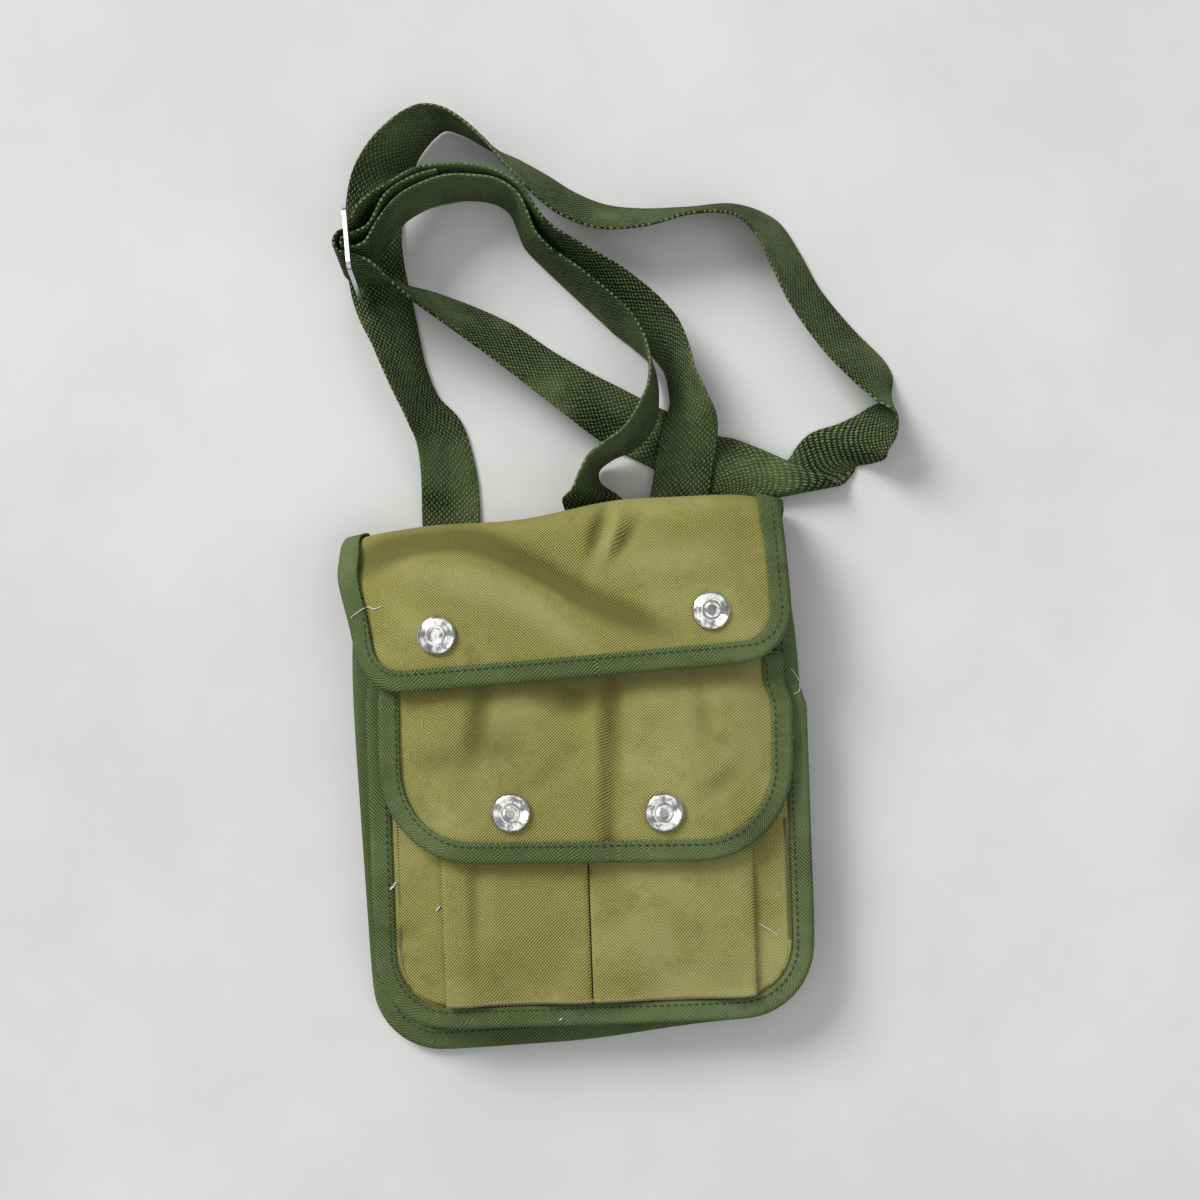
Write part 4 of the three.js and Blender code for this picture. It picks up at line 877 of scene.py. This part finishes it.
def fold_relief(points: Array, folds: Sequence[Fold]) -> Array:
    """Sum of long soft folds: height * exp(-(u/length)^2 - (v/width)^2) for each.

    Args:
        points: (n, 3) array in the part's frame.
        folds: the folds.

    Returns:
        Height of the relief at each point.
    """
    total = np.zeros(len(points))
    for fold in folds:
        a = math.radians(fold.turn)
        x, y = (points[:, :2] - SHIFT[:2] - np.array([fold.x, fold.y]) * MM).T
        u = (x * math.cos(a) + y * math.sin(a)) / (fold.length * MM)
        v = (y * math.cos(a) - x * math.sin(a)) / (fold.width * MM)
        total += fold.height * MM * np.exp(-u * u - v * v)
    return total


def step_over(value: Array, none: float, full: float) -> Array:
    """Smooth step of a coordinate, from 0 at one place to 1 at another."""
    return smooth_step((value - none) / (full - none))


def sway(points: Array) -> Array:
    """How the soft body leans in plan where it differs from its pattern.

    Args:
        points: (n, 3) array in the part's frame.

    Returns:
        The points, with the back's low right corner drawn up and the main flap's ends moved in.
    """
    x, y = ((points[:, :2] - SHIFT[:2]) / MM).T
    z = points[:, 2] / MM
    corner = step_over(x, -10, 65) * step_over(y, -55, -100) * step_over(z, 16, 5)
    high = step_over(z, 10, 22) * step_over(y, 35, 47)
    left, right = step_over(x, -70, -98) * high, step_over(x, 55, 83) * high
    moved = points.copy()
    moved[:, 0] -= FLAP_RIGHT_IN * right + (FLAP_LEFT_IN - FLAP_LEFT_BACK * step_over(y, 98, 58)) * left
    moved[:, 1] += CORNER_UP * corner
    return moved


def crumple(points: Array, wavelength: float, height: float, seed: int, count: int = 14) -> Array:
    """Soft uneven surface: a mean of plane waves of random direction near one wavelength.

    Args:
        points: (n, 3) array.
        wavelength: typical length of a wave.
        height: size of the relief.
        seed: number that settles the random directions.
        count: number of waves.

    Returns:
        Height of the relief at each point.
    """
    random = np.random.default_rng(SEED + seed)
    direction = unit(random.normal(size=(count, 3)))
    length = wavelength * random.uniform(0.6, 1.8, count)
    phase = random.uniform(0, math.tau, count)
    waves = np.sin(points @ (direction / length[:, None] * math.tau).T + phase)
    return 2 * height * waves.mean(axis=1)


def smooth_copy(node: str, levels: int, crease: float = 1.0) -> Thing:
    """Smooth dense copy of a node: merged, made into quads, creased at its rim and subdivided.

    Args:
        node: name of the node.
        levels: subdivision levels.
        crease: sharpness kept at edges that bend by more than the crease angle.

    Returns:
        The new object.
    """
    work = bmesh.new()
    work.from_mesh(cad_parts[node].data)
    bmesh.ops.remove_doubles(work, verts=work.verts, dist=MERGE)
    bmesh.ops.join_triangles(
        work, faces=work.faces, angle_face_threshold=FLAT_ANGLE, angle_shape_threshold=QUAD_ANGLE
    )
    layer = work.edges.layers.float.new("crease_edge")
    for edge in work.edges:
        if len(edge.link_faces) == 2 and edge.calc_face_angle(0.0) > CREASE_ANGLE:
            edge[layer] = crease
    mesh = bpy.data.meshes.new(f"{node}_cloth")
    work.to_mesh(mesh)
    work.free()
    thing = place(mesh.name, mesh)
    dense = thing.modifiers.new("dense", "SUBSURF")
    dense.levels = dense.render_levels = levels
    evaluated = thing.evaluated_get(bpy.context.evaluated_depsgraph_get())
    finished = bpy.data.meshes.new_from_object(evaluated)
    thing.modifiers.clear()
    thing.data = finished
    finished.name = thing.name
    shade_faces(finished, True)
    return thing


def points_of(thing: Thing) -> tuple[Array, Array]:
    """Points and normals of an object's mesh.

    Args:
        thing: the object.

    Returns:
        Two (n, 3) arrays.
    """
    count = len(thing.data.vertices)
    points, normals = np.empty(count * 3), np.empty(count * 3)
    thing.data.vertices.foreach_get("co", points)
    thing.data.vertex_normals.foreach_get("vector", normals)
    return points.reshape(-1, 3), normals.reshape(-1, 3)


def move_points(thing: Thing, points: Array) -> None:
    """Writes an (n, 3) array of new points into an object's mesh."""
    thing.data.vertices.foreach_set("co", points.ravel())
    thing.data.update()


@dataclass(frozen=True)
class ClothPanel:
    """One cloth piece that stands for a node of the part."""

    node: str
    folds: tuple[Fold, ...] = ()
    wave: float = 38 * MM
    height: float = 0.35 * MM
    levels: int = 3
    wall: Outline | None = None
    fold_gain: float = 1.25
    full_hollow: float = 1.5 * MM

    def build(self, materials: Materials) -> Thing:
        """Makes the piece.

        Args:
            materials: maker of the finishes.

        Returns:
            The object.
        """
        thing = smooth_copy(self.node, self.levels)
        points, _ = points_of(thing)
        relief = fold_relief(points, self.folds)
        # Depth of the folds, which the cloth turns into painted shade in the valleys and paler ridges
        hollow = thing.data.attributes.new("hollow", "FLOAT", "POINT")
        hollow.data.foreach_set("value", (-relief / self.full_hollow).astype(np.float32))
        points[:, 2] += crumple(points, self.wave, self.height, len(self.node)) + self.fold_gain * relief
        if self.wall:
            set_uv(thing.data, self.wall.wrapped(points))
        move_points(thing, sway(points))
        finish = CANVAS_WALL if self.wall else CANVAS
        finish_piece(thing, materials.cloth(finish), Finish.CANVAS, self.node)
        return thing


@dataclass(frozen=True)
class EdgeTape:
    """Folded tape along the edge of a panel."""

    node: str
    outline: Outline
    pucker: float = 0.12 * MM
    pucker_length: float = 1.1 * MM
    drift_length: float = 9 * MM
    groove: float = 0.22 * MM
    groove_width: float = 0.8 * MM
    levels: int = 2

    def build(self, materials: Materials) -> Thing:
        """Makes the piece.

        Args:
            materials: maker of the finishes.

        Returns:
            The object.
        """
        thing = smooth_copy(self.node, self.levels, TAPE_CREASE)
        points, normals = points_of(thing)
        along, inset = self.outline.coordinates(points[:, :2]).T
        drift = 0.6 + 0.4 * np.sin(along / self.drift_length + 1)
        ripple = np.sin(along / self.pucker_length) * drift
        sewn = np.exp(-(((inset - SEAM_INSET) / self.groove_width) ** 2))
        relief = self.pucker * ripple * (0.12 + 0.88 * sewn) - self.groove * sewn
        move_points(thing, sway(points + normals * relief[:, None]))
        set_uv(thing.data, self.outline.wrapped(points))
        finish_piece(thing, materials.cloth(TAPE), Finish.TAPE, self.node)
        return thing


def drop_onto(plan: Array, below: Sequence[Thing]) -> tuple[Array, Array]:
    """Puts plan points on the topmost surface under them.

    Args:
        plan: (n, 2) array.
        below: objects that can carry the points.

    Returns:
        The points that meet a surface, and the surface's normals there.
    """
    graph = bpy.context.evaluated_depsgraph_get()
    trees = [BVHTree.FromObject(thing, graph) for thing in below]
    points, normals = [], []
    for x, y in plan:
        hits = [tree.ray_cast(Vector((x, y, HIGH_ABOVE)), Vector((0, 0, -1))) for tree in trees]
        hits = [hit for hit in hits if hit[0] is not None]
        if hits:
            best = max(hits, key=lambda hit: hit[0].z)
            points.append(best[0])
            normals.append(best[1] if best[1].z > 0 else -best[1])
    return np.array(points), np.array(normals)


def tube_faces(rings: int, sides: int) -> Array:
    """Quads of a tube, from each ring to the next and round each ring.

    Args:
        rings: number of rings.
        sides: points in each ring.

    Returns:
        A ((rings - 1) * sides, 4) array of point numbers.
    """
    j, i = np.meshgrid(np.arange(rings - 1) * sides, np.arange(sides), indexing="ij")
    beside = (i + 1) % sides
    return np.stack([j + i, j + beside, j + sides + beside, j + sides + i], axis=-1).reshape(-1, 4)


def circles(side: Array, up: Array) -> Array:
    """Circles of THREAD_SIDES points each: side * cos(a) + up * sin(a), from (n, 3) unit vectors."""
    turn = (np.arange(THREAD_SIDES) * math.tau / THREAD_SIDES)[:, None]
    return side[:, None] * np.cos(turn) + up[:, None] * np.sin(turn)


def stitch_row(name: str, points: Array, normals: Array, radius: float, fill: float) -> Thing:
    """Row of sewn stitches: each is a short arched spindle between neighbouring points.

    Args:
        name: the object's name.
        points: (n, 3) array on the cloth.
        normals: (n, 3) array of the cloth's normals.
        radius: thread radius.
        fill: share of the spacing that a stitch covers.

    Returns:
        The object.
    """
    start, step = points[:-1], np.diff(points, axis=0)
    length = np.linalg.norm(step, axis=1)
    keep = length < 3 * np.median(length)
    start, step, up = start[keep], step[keep], normals[:-1][keep]
    along = np.array([0.0, 0.18, 0.5, 0.82, 1.0])[:, None] * fill
    thick = np.array([0.25, 0.85, 1.0, 0.85, 0.25])[:, None, None] * radius
    lift = np.array([-0.6, 0.35, 0.6, 0.35, -0.6])[:, None] * radius
    centre = start[:, None] + step[:, None] * along + up[:, None] * lift
    solid = centre[:, :, None] + circles(unit(np.cross(up, step)), up)[:, None] * thick
    first = np.arange(len(start)) * len(along) * THREAD_SIDES
    faces = first[:, None, None] + tube_faces(len(along), THREAD_SIDES)
    return make_object(name, solid.reshape(-1, 3), faces.reshape(-1, 4))


@dataclass(frozen=True)
class Seam:
    """A row of stitches along an outline."""

    name: str
    outline: Outline
    inset: float = SEAM_INSET
    pitch: float = 2.9 * MM
    radius: float = 0.33 * MM
    fill: float = 0.72

    def build(self, materials: Materials, below: Sequence[Thing]) -> None:
        """Sews the row.

        Args:
            materials: maker of the finishes.
            below: pieces that carry it.
        """
        flat = self.outline.path(self.inset, self.pitch)
        level = np.full((len(flat), 1), np.mean([thing.bound_box[0][2] for thing in below]))
        points, normals = drop_onto(sway(np.hstack([flat, level]))[:, :2], below)
        thing = stitch_row(self.name, points, normals, self.radius, self.fill)
        finish_piece(thing, materials.thread("green_thread", GREEN_THREAD), Finish.TAPE)


def catmull_rom(points: Array, samples: int) -> Array:
    """Centripetal Catmull-Rom curve through points.

    Args:
        points: (n, k) array.
        samples: steps in each span.

    Returns:
        An ((n - 1) * samples + 1, k) array.
    """
    padded = np.vstack([2 * points[0] - points[1], points, 2 * points[-1] - points[-2]])
    p0, p1, p2, p3 = padded[:-3], padded[1:-2], padded[2:-1], padded[3:]
    span = [np.linalg.norm(step, axis=1, keepdims=True) ** 0.5 for step in (p1 - p0, p2 - p1, p3 - p2)]
    least = 1e-4
    d1 = np.where(span[1] < least, 1.0, span[1])
    d0 = np.where(span[0] < least, d1, span[0])
    d2 = np.where(span[2] < least, d1, span[2])
    t1 = ((p1 - p0) / d0 - (p2 - p0) / (d0 + d1) + (p2 - p1) / d1) * d1
    t2 = ((p2 - p1) / d1 - (p3 - p1) / (d1 + d2) + (p3 - p2) / d2) * d1
    t = (np.arange(samples) / samples)[None, :, None]
    a, b, m, n = (v[:, None, :] for v in (p1, p2, t1, t2))
    curve = a + m * t + (3 * (b - a) - 2 * m - n) * t**2 + (2 * (a - b) + m + n) * t**3
    return np.vstack([curve.reshape(-1, points.shape[1]), points[-1:]])


@dataclass(frozen=True)
class ShoulderStrap:
    """The long webbing ribbon, swept through its stations with straight rulings."""

    width: float = 25 * MM
    thickness: float = 1.5 * MM
    gap: float = 0.3 * MM
    spread: float = 130 * MM
    reach: float = 170 * MM
    base: float = 115 * MM
    rest: float = 0.55
    fold_wide: float = 4.2 * MM
    fold_tight: float = 1.6 * MM
    fold_x: float = 0.752
    fold_y: float = 0.091
    fold_crease: float = math.radians(194.8)
    fold_travel: float = math.radians(230.3)
    samples: int = 8
    columns: int = 14

    def table(self, rows: Rows) -> tuple[Array, Array]:
        """Centres and edge directions of a table's stations.

        Args:
            rows: x, y, lift, east, north and up of each station.

        Returns:
            Two (n, 3) arrays.
        """
        x, y, lift, *_, up = np.array(rows).T
        height = lift * self.thickness + np.abs(up) * self.width / 2
        centre = np.stack([x * self.spread, self.base + y * self.reach, height], axis=1)
        return centre, np.array(rows)[:, 3:]

    def slide_turn(self, radius: float, sign: float) -> tuple[Array, Array]:
        """Half a turn round the slide's middle bar.

        Args:
            radius: of the webbing's middle.
            sign: which edge is up.

        Returns:
            Centres and edge directions.
        """
        out = np.array([-math.sin(SLIDE_TURN), math.cos(SLIDE_TURN), 0.0])
        level = np.array([math.cos(SLIDE_TURN), math.sin(SLIDE_TURN), 0.0])
        bar = np.array([0, 0, math.cos(SLIDE_LEAN)]) + level * math.sin(SLIDE_LEAN)
        a = (np.pi * np.arange(5) / 4)[:, None]
        centre = SLIDE_CENTRE - radius * np.cos(a) * np.cross(out, bar) + radius * np.sin(a) * out
        return centre, np.repeat(bar[None] * sign, 5, axis=0)

    def fold_over(self) -> tuple[Array, Array]:
        """The place where the strap rolls over itself, tighter at the edge next to the pouch.

        Returns:
            Centres and edge directions.
        """
        slant = self.fold_travel - self.fold_crease
        along = np.array([math.cos(self.fold_crease), math.sin(self.fold_crease), 0])
        away = np.array([-along[1], along[0], 0])
        up = np.array([0, 0, 1.0])
        x, y = self.fold_x * self.spread, self.base + self.fold_y * self.reach
        start = np.array([x, y, self.rest * self.thickness])
        half = self.width / 2 / math.sin(slant)
        a = (np.pi * np.arange(7) / 6)[:, None]

        def edge(sign: float, radius: float) -> Array:
            """Path of one edge: a roll over the crease that travels along it."""
            roll = away * radius * np.sin(a) + up * radius * (1 - np.cos(a))
            return start + along * (radius * a / math.tan(slant) - sign * half) + roll

        wide, tight = edge(1, self.fold_wide), edge(-1, self.fold_tight)
        return (wide + tight) / 2, (wide - tight) / self.width

    def keeper_turn(self) -> tuple[Array, Array]:
        """Half a turn round the hidden ring's bar.

        Returns:
            Centres and edge directions.
        """
        radius = KEEPER_WIRE * math.sqrt(0.5) + self.gap + 0.1 * MM + self.thickness / 2
        height = self.rest * self.thickness + radius
        a = np.pi * np.arange(5) / 4
        x = np.full(5, KEEPER_CENTRE[0])
        y, z = KEEPER_CENTRE[1] - radius * np.sin(a), height - radius * np.cos(a)
        centre = np.stack([x, y, z], axis=1)
        return centre, np.repeat([[-1.0, 0, 0]], 5, axis=0)

    def stations(self) -> tuple[Array, Array]:
        """All stations in order, from the sewn end to the tail.

        Returns:
            Centres and edge directions.
        """
        inner = math.hypot(SLIDE_WIRE, SLIDE_PLATE) / 2 + self.gap + 0.3 * MM + self.thickness / 2
        parts = (
            self.table(STRAP_OUT),
            self.fold_over(),
            self.table(STRAP_BACK),
            self.slide_turn(inner + 2 * self.thickness, -1),
            self.table(STRAP_DOWN),
            self.keeper_turn(),
            self.table(STRAP_RETURN),
            self.slide_turn(inner, 1),
            self.table(STRAP_TAIL),
        )
        centres, sides = zip(*parts)
        return np.vstack(centres), np.vstack(sides)

    def build(self, materials: Materials) -> None:
        """Makes the strap: P(s, w) = centre(s) + w * ruling(s), with rounded selvages.

        Args:
            materials: maker of the finishes.
        """
        centres, sides = self.stations()
        centre, raw = catmull_rom(centres, self.samples), catmull_rom(sides, self.samples)
        tangent, ruling = unit(np.gradient(centre, axis=0)), unit(raw)
        square = unit(ruling - tangent * np.sum(ruling * tangent, axis=1, keepdims=True))
        half, edge = self.width / 2, self.thickness / 2
        reach = half / np.maximum(np.sum(ruling * square, axis=1), 0.5)
        normal = unit(np.cross(ruling, tangent))
        bow = np.radians([60, 30, 0, -30, -60])
        flat = np.linspace(-1, 1, self.columns) * (1 - edge / half)
        tip = 1 + (np.cos(bow) - 1) * edge / half
        across = np.r_[flat, tip, flat[::-1], -tip]
        rise = np.r_[np.ones(self.columns), np.sin(bow), -np.ones(self.columns), -np.sin(bow)] * edge
        points = centre[:, None] + ruling[:, None] * (across * reach[:, None])[:, :, None]
        points += normal[:, None] * rise[:, None]
        points[:, :, 2] -= np.minimum(points[:, :, 2].min(axis=1), 0)[:, None]
        points += SHIFT
        rows, columns = points.shape[:2]
        travel = np.r_[0, np.cumsum(np.linalg.norm(np.diff(centre, axis=0), axis=1))]
        uv = np.stack(np.broadcast_arrays(across * half, travel[:, None]), axis=-1).reshape(-1, 2)
        faces = tube_faces(rows, columns)
        thing = make_object("shoulder_strap_webbing", points.reshape(-1, 3), faces, uv)
        self.close_ends(thing, rows, columns)
        finish_piece(thing, materials.cloth(WEBBING), Finish.WEBBING, "shoulder_strap")

    @staticmethod
    def close_ends(thing: Thing, rows: int, columns: int) -> None:
        """Closes both cut ends of the ribbon.

        Args:
            thing: the ribbon.
            rows: number of its rings.
            columns: points in each ring.
        """
        work = bmesh.new()
        work.from_mesh(thing.data)
        work.verts.ensure_lookup_table()
        work.faces.new([work.verts[i] for i in range(columns)])
        work.faces.new([work.verts[(rows - 1) * columns + i] for i in range(columns)])
        bmesh.ops.recalc_face_normals(work, faces=work.faces)
        work.to_mesh(thing.data)
        work.free()


def metal_from_node(node: str, finish: MetalFinish, materials: Materials, levels: int) -> None:
    """Smooth metal copy of a node with softened edges.

    Args:
        node: name of the node.
        finish: its metal.
        materials: maker of the finishes.
        levels: subdivision levels; 0 bevels the edges instead.
    """
    thing = smooth_copy(node, levels, METAL_CREASE)
    thing.name = f"{node}_metal"
    if levels == 0:
        soft = thing.modifiers.new("soft_edges", "BEVEL")
        soft.width = METAL_BEVEL
        soft.segments = 3
        soft.limit_method = "ANGLE"
        shade_faces(thing.data, False)
    finish_piece(thing, materials.metal(finish), Finish.NICKEL, node)


MAIN_FLAP_FOLDS = (
    Fold(-84, 96, 16, 7, 30, -1.6),
    Fold(-62, 103, 26, 6, 4, -1.9),
    Fold(-30, 97, 24, 6, -24, -1.7),
    Fold(-2, 82, 24, 6, -30, -1.8),
    Fold(24, 72, 18, 6, -28, -1.3),
    Fold(-45, 86, 34, 9, -14, 1.4),
    Fold(-10, 68, 26, 6, -34, 1.1),
    Fold(6, 108, 13, 3.2, 72, -1.7),
    Fold(12.5, 107, 12, 3.2, 80, 1.3),
    Fold(17, 103, 12, 3.0, 62, -1.5),
    Fold(40, 96, 30, 8, 8, 1.1),
    Fold(62, 78, 10, 12, 20, 0.9),
    Fold(-70, 70, 16, 7, -40, 1.0),
)
LID_FOLDS = (
    Fold(-43, 33, 5, 20, -8, -1.2),
    Fold(-62, 12, 14, 7, 14, -0.9),
    Fold(-34, 20, 16, 12, 20, -0.8),
    Fold(-2, 38, 13, 7, 0, -1.6),
    Fold(13, 26, 4.5, 26, 2, -1.3),
    Fold(6, 16, 4, 26, 4, 0.9),
    Fold(12, -22, 4, 16, 2, -1.1),
    Fold(50, 32, 5, 12, 12, -0.9),
    Fold(58, 4, 14, 4.5, 38, -0.8),
    Fold(-16, 6, 16, 5, 34, -0.7),
    Fold(-66, -8, 12, 5, -48, -0.7),
)
POCKET_FOLDS = (
    Fold(-45, -50, 2.8, 26, 2, -1.1),
    Fold(-38, -46, 4, 26, 2, 0.5),
    Fold(-76, -62, 10, 4, 30, -0.8),
    Fold(-30, -60, 20, 7, 10, 0.4),
    Fold(38, -52, 22, 7, -8, 0.4),
    Fold(62, -80, 10, 8, 20, -0.6),
)


def plan_points(pixels: Sequence[Pair], height: float) -> Array:
    """Plan points under pixels of the photograph: camera + (pixel - middle) * scale.

    Args:
        pixels: from the left and from the top.
        height: height of the surface there, in mm.

    Returns:
        An (n, 2) array in the frame of the part.
    """
    scale = (1 - height / CAMERA_AT[2]) / PIXELS_PER_MM
    drawn = CAMERA_AT[:2] + (np.array(pixels) - PICTURE / 2) * (scale, -scale)
    return drawn * MM + SHIFT[:2]


@dataclass(frozen=True)
class LooseThread:
    """A loose thread on the cloth, through pixels of the photograph; its height is in mm."""

    name: str
    pixels: tuple[Pair, ...]
    radius: float = 0.22 * MM
    height: float = 30.0
    clear: float = 0.1 * MM

    def build(self, materials: Materials, below: Sequence[Thing]) -> None:
        """Lays the thread: circles swept along a curve, smaller towards both ends.

        Args:
            materials: maker of the finishes.
            below: pieces that can carry it.
        """
        flat = catmull_rom(plan_points(self.pixels, self.height), 8)
        spine, normals = drop_onto(flat, below)
        spine = spine + normals * (self.radius + self.clear)
        tangent = unit(np.gradient(spine, axis=0))
        side = np.cross(normals, tangent)
        radius = self.radius * np.sin(np.linspace(0.12, math.pi - 0.12, len(spine))) ** 0.3
        points = spine[:, None] + circles(side, np.cross(tangent, side)) * radius[:, None, None]
        thing = make_object(self.name, points.reshape(-1, 3), tube_faces(len(spine), THREAD_SIDES))
        finish_piece(thing, materials.thread("white_thread", WHITE_THREAD), Finish.CANVAS)


@dataclass(frozen=True)
class RawEdge:
    """Zigzag of binding thread over a raw cloth edge inside the front seam, in mm."""

    name: str
    inset: float
    pitch: float
    reach: float
    colour: Colour
    low: Pair
    high: Pair
    radius: float = 0.36

    def build(self, materials: Materials, below: Sequence[Thing]) -> None:
        """Sews the part of the row that lies between two plan corners, in the drawing's mm.

        Args:
            materials: maker of the finishes.
            below: pieces that carry it.
        """
        plan = FRONT.path(self.inset * MM, self.pitch * MM)
        drawn = (plan - SHIFT[:2]) / MM
        plan = plan[np.all((drawn > self.low) & (drawn < self.high), axis=1)]
        step = np.gradient(plan, axis=0)
        side = unit(np.stack([-step[:, 1], step[:, 0]], axis=1))
        sign = np.where(np.arange(len(plan)) % 2, 1.0, -1.0)[:, None]
        points, normals = drop_onto(plan + side * sign * self.reach * MM, below)
        thing = stitch_row(self.name, points, normals, self.radius * MM, 1.0)
        finish_piece(thing, materials.thread(f"{self.name}_thread", self.colour), Finish.TAPE)


@dataclass(frozen=True)
class Pouch:
    """The sewn body: cloth panels, tapes and seams."""

    panels: tuple[ClothPanel, ...] = (
        ClothPanel("back_and_flap", MAIN_FLAP_FOLDS, 34 * MM, 0.4 * MM),
        ClothPanel("front_panel"),
        ClothPanel("gusset", (), 30 * MM, 0.3 * MM, 2, FRONT),
        ClothPanel("left_pocket", POCKET_FOLDS, 26 * MM, 0.22 * MM),
        ClothPanel("right_pocket", POCKET_FOLDS, 26 * MM, 0.22 * MM),
        ClothPanel("pocket_flap", LID_FOLDS, 30 * MM, 0.3 * MM),
    )
    edges: tuple[tuple[str, Outline], ...] = (
        ("back_seam", BACK),
        ("front_seam", FRONT),
        ("pocket_flap", LID),
        ("main_flap", FLAP),
    )
    raw_edges: tuple[RawEdge, ...] = (
        RawEdge("left_raw_edge", 11, 0.65, 1.5, (0.15, 0.125, 0.065), (-200, -84), (0, -12)),
        RawEdge("right_raw_edge", 11, 0.65, 0.9, (0.16, 0.14, 0.065), (0, -84), (200, -12)),
        RawEdge("bottom_raw_edge", 11.1, 0.9, 0.55, (0.34, 0.29, 0.16), (-62, -200), (76, -78)),
    )
    threads: tuple[LooseThread, ...] = (
        LooseThread("thread_flap", ((349, 618), (358, 612), (367, 607), (374, 609), (383, 606))),
        LooseThread("thread_pocket", ((759, 926), (768, 931), (780, 939))),
        LooseThread("thread_side", ((791, 668), (799, 681), (799, 691), (793, 694)), height=22.0),
        LooseThread("lint_left", ((388, 893), (391, 889), (394, 885)), 0.5 * MM),
        LooseThread("lint_pleat", ((435, 914), (437, 911), (439, 909)), 0.35 * MM),
        LooseThread("lint_tape", ((559, 1025), (562, 1023)), 0.3 * MM),
    )

    def build(self, materials: Materials) -> None:
        """Makes all sewn pieces.

        Args:
            materials: maker of the finishes.
        """
        cloths = [panel.build(materials) for panel in self.panels]
        tapes = [EdgeTape(f"{edge}_binding", outline).build(materials) for edge, outline in self.edges]
        for (edge, outline), tape in zip(self.edges, tapes):
            Seam(f"{edge}_stitches", outline).build(materials, [tape])
        for row in self.raw_edges:
            row.build(materials, cloths)
        for thread in self.threads:
            thread.build(materials, cloths + tapes)


@dataclass(frozen=True)
class Hardware:
    """Snap fasteners, slide and ring."""

    corners: tuple[str, ...] = ("upper_left", "upper_right", "lower_left", "lower_right")
    cap_levels: int = 2
    stud_levels: int = 1

    def build(self, materials: Materials) -> None:
        """Makes all metal pieces.

        Args:
            materials: maker of the finishes.
        """
        for corner in self.corners:
            metal_from_node(f"{corner}_snap_cap", NICKEL, materials, self.cap_levels)
            metal_from_node(f"{corner}_snap_stud", NICKEL, materials, self.stud_levels)
        for node in ("strap_slide", "strap_keeper"):
            metal_from_node(node, SLIDE_STEEL, materials, 0)


@dataclass(frozen=True)
class Lamp:
    """A square soft lamp that faces the middle of the floor."""

    name: str
    place: tuple[float, float, float]
    size: float
    power: float


@dataclass(frozen=True)
class Studio:
    """Floor, soft light and the camera of the photograph."""

    floor_reach: float = 40.0
    surround: float = 1.15
    low_tone: Colour = (0.16, 0.16, 0.17)
    high_tone: Colour = (0.97, 0.97, 0.98)
    lamps: tuple[Lamp, ...] = (
        Lamp("key", (-4.5, 4.65, 4.05), 3.15, 640.0),
        Lamp("fill", (4.2, -2.1, 5.7), 4.5, 80.0),
    )
    sensor: float = 36.0

    def build(self, materials: Materials) -> None:
        """Sets the stage.

        Args:
            materials: maker of the finishes.
        """
        self.floor(materials)
        self.lights()
        self.camera()

    def floor(self, materials: Materials) -> None:
        """Lays a plain pale floor.

        Args:
            materials: maker of the finishes.
        """
        corner = np.array([[-1, -1, 0], [1, -1, 0], [1, 1, 0], [-1, 1, 0]]) * self.floor_reach
        floor = make_object("floor", corner, np.array([[0, 1, 2, 3]]))
        floor.data.materials.append(materials.floor())

    def lights(self) -> None:
        """Hangs a broad key light, a fill and a surround that is dark low down."""
        world = bpy.data.worlds.new("surround")
        world.use_nodes = True
        g = Graph(world.node_tree)
        around = g.node("TexCoord").outputs["Generated"]
        up = g.split(around)[2]
        band = g.math("MULTIPLY", g.ramp(up, 0.25, 0.7), g.ramp(up, 1.03, 0.93))
        patches = g.ramp(g.noise(around, 1.9, 2.0), 0.42, 0.56)
        high = g.math("MULTIPLY", band, g.math("MULTIPLY_ADD", patches, 0.88, 0.12))
        background = world.node_tree.nodes["Background"]
        g.put(background.inputs["Color"], g.mix(high, self.low_tone, self.high_tone))
        background.inputs["Strength"].default_value = self.surround
        bpy.context.scene.world = world
        for lamp in self.lamps:
            area = bpy.data.lights.new(lamp.name, "AREA")
            area.size = lamp.size
            area.energy = lamp.power
            light = place(lamp.name, area)
            light.location = lamp.place
            light.rotation_euler = (-Vector(lamp.place)).to_track_quat("-Z", "Y").to_euler()
        bpy.context.scene.view_settings.view_transform = "Standard"

    def camera(self) -> None:
        """Places the camera straight above, as the photograph was taken."""
        at = CAMERA_AT * MM
        data = bpy.data.cameras.new("camera")
        data.sensor_width = self.sensor
        data.lens = PIXELS_PER_MM * at[2] / MM / PICTURE * self.sensor
        camera = place("camera", data)
        camera.location = at + SHIFT
        bpy.context.scene.camera = camera


def main() -> None:
    """Builds the looks in order."""
    materials = Materials()
    Studio().build(materials)
    Pouch().build(materials)
    ShoulderStrap().build(materials)
    Hardware().build(materials)


if __name__ == "__main__":
    main()
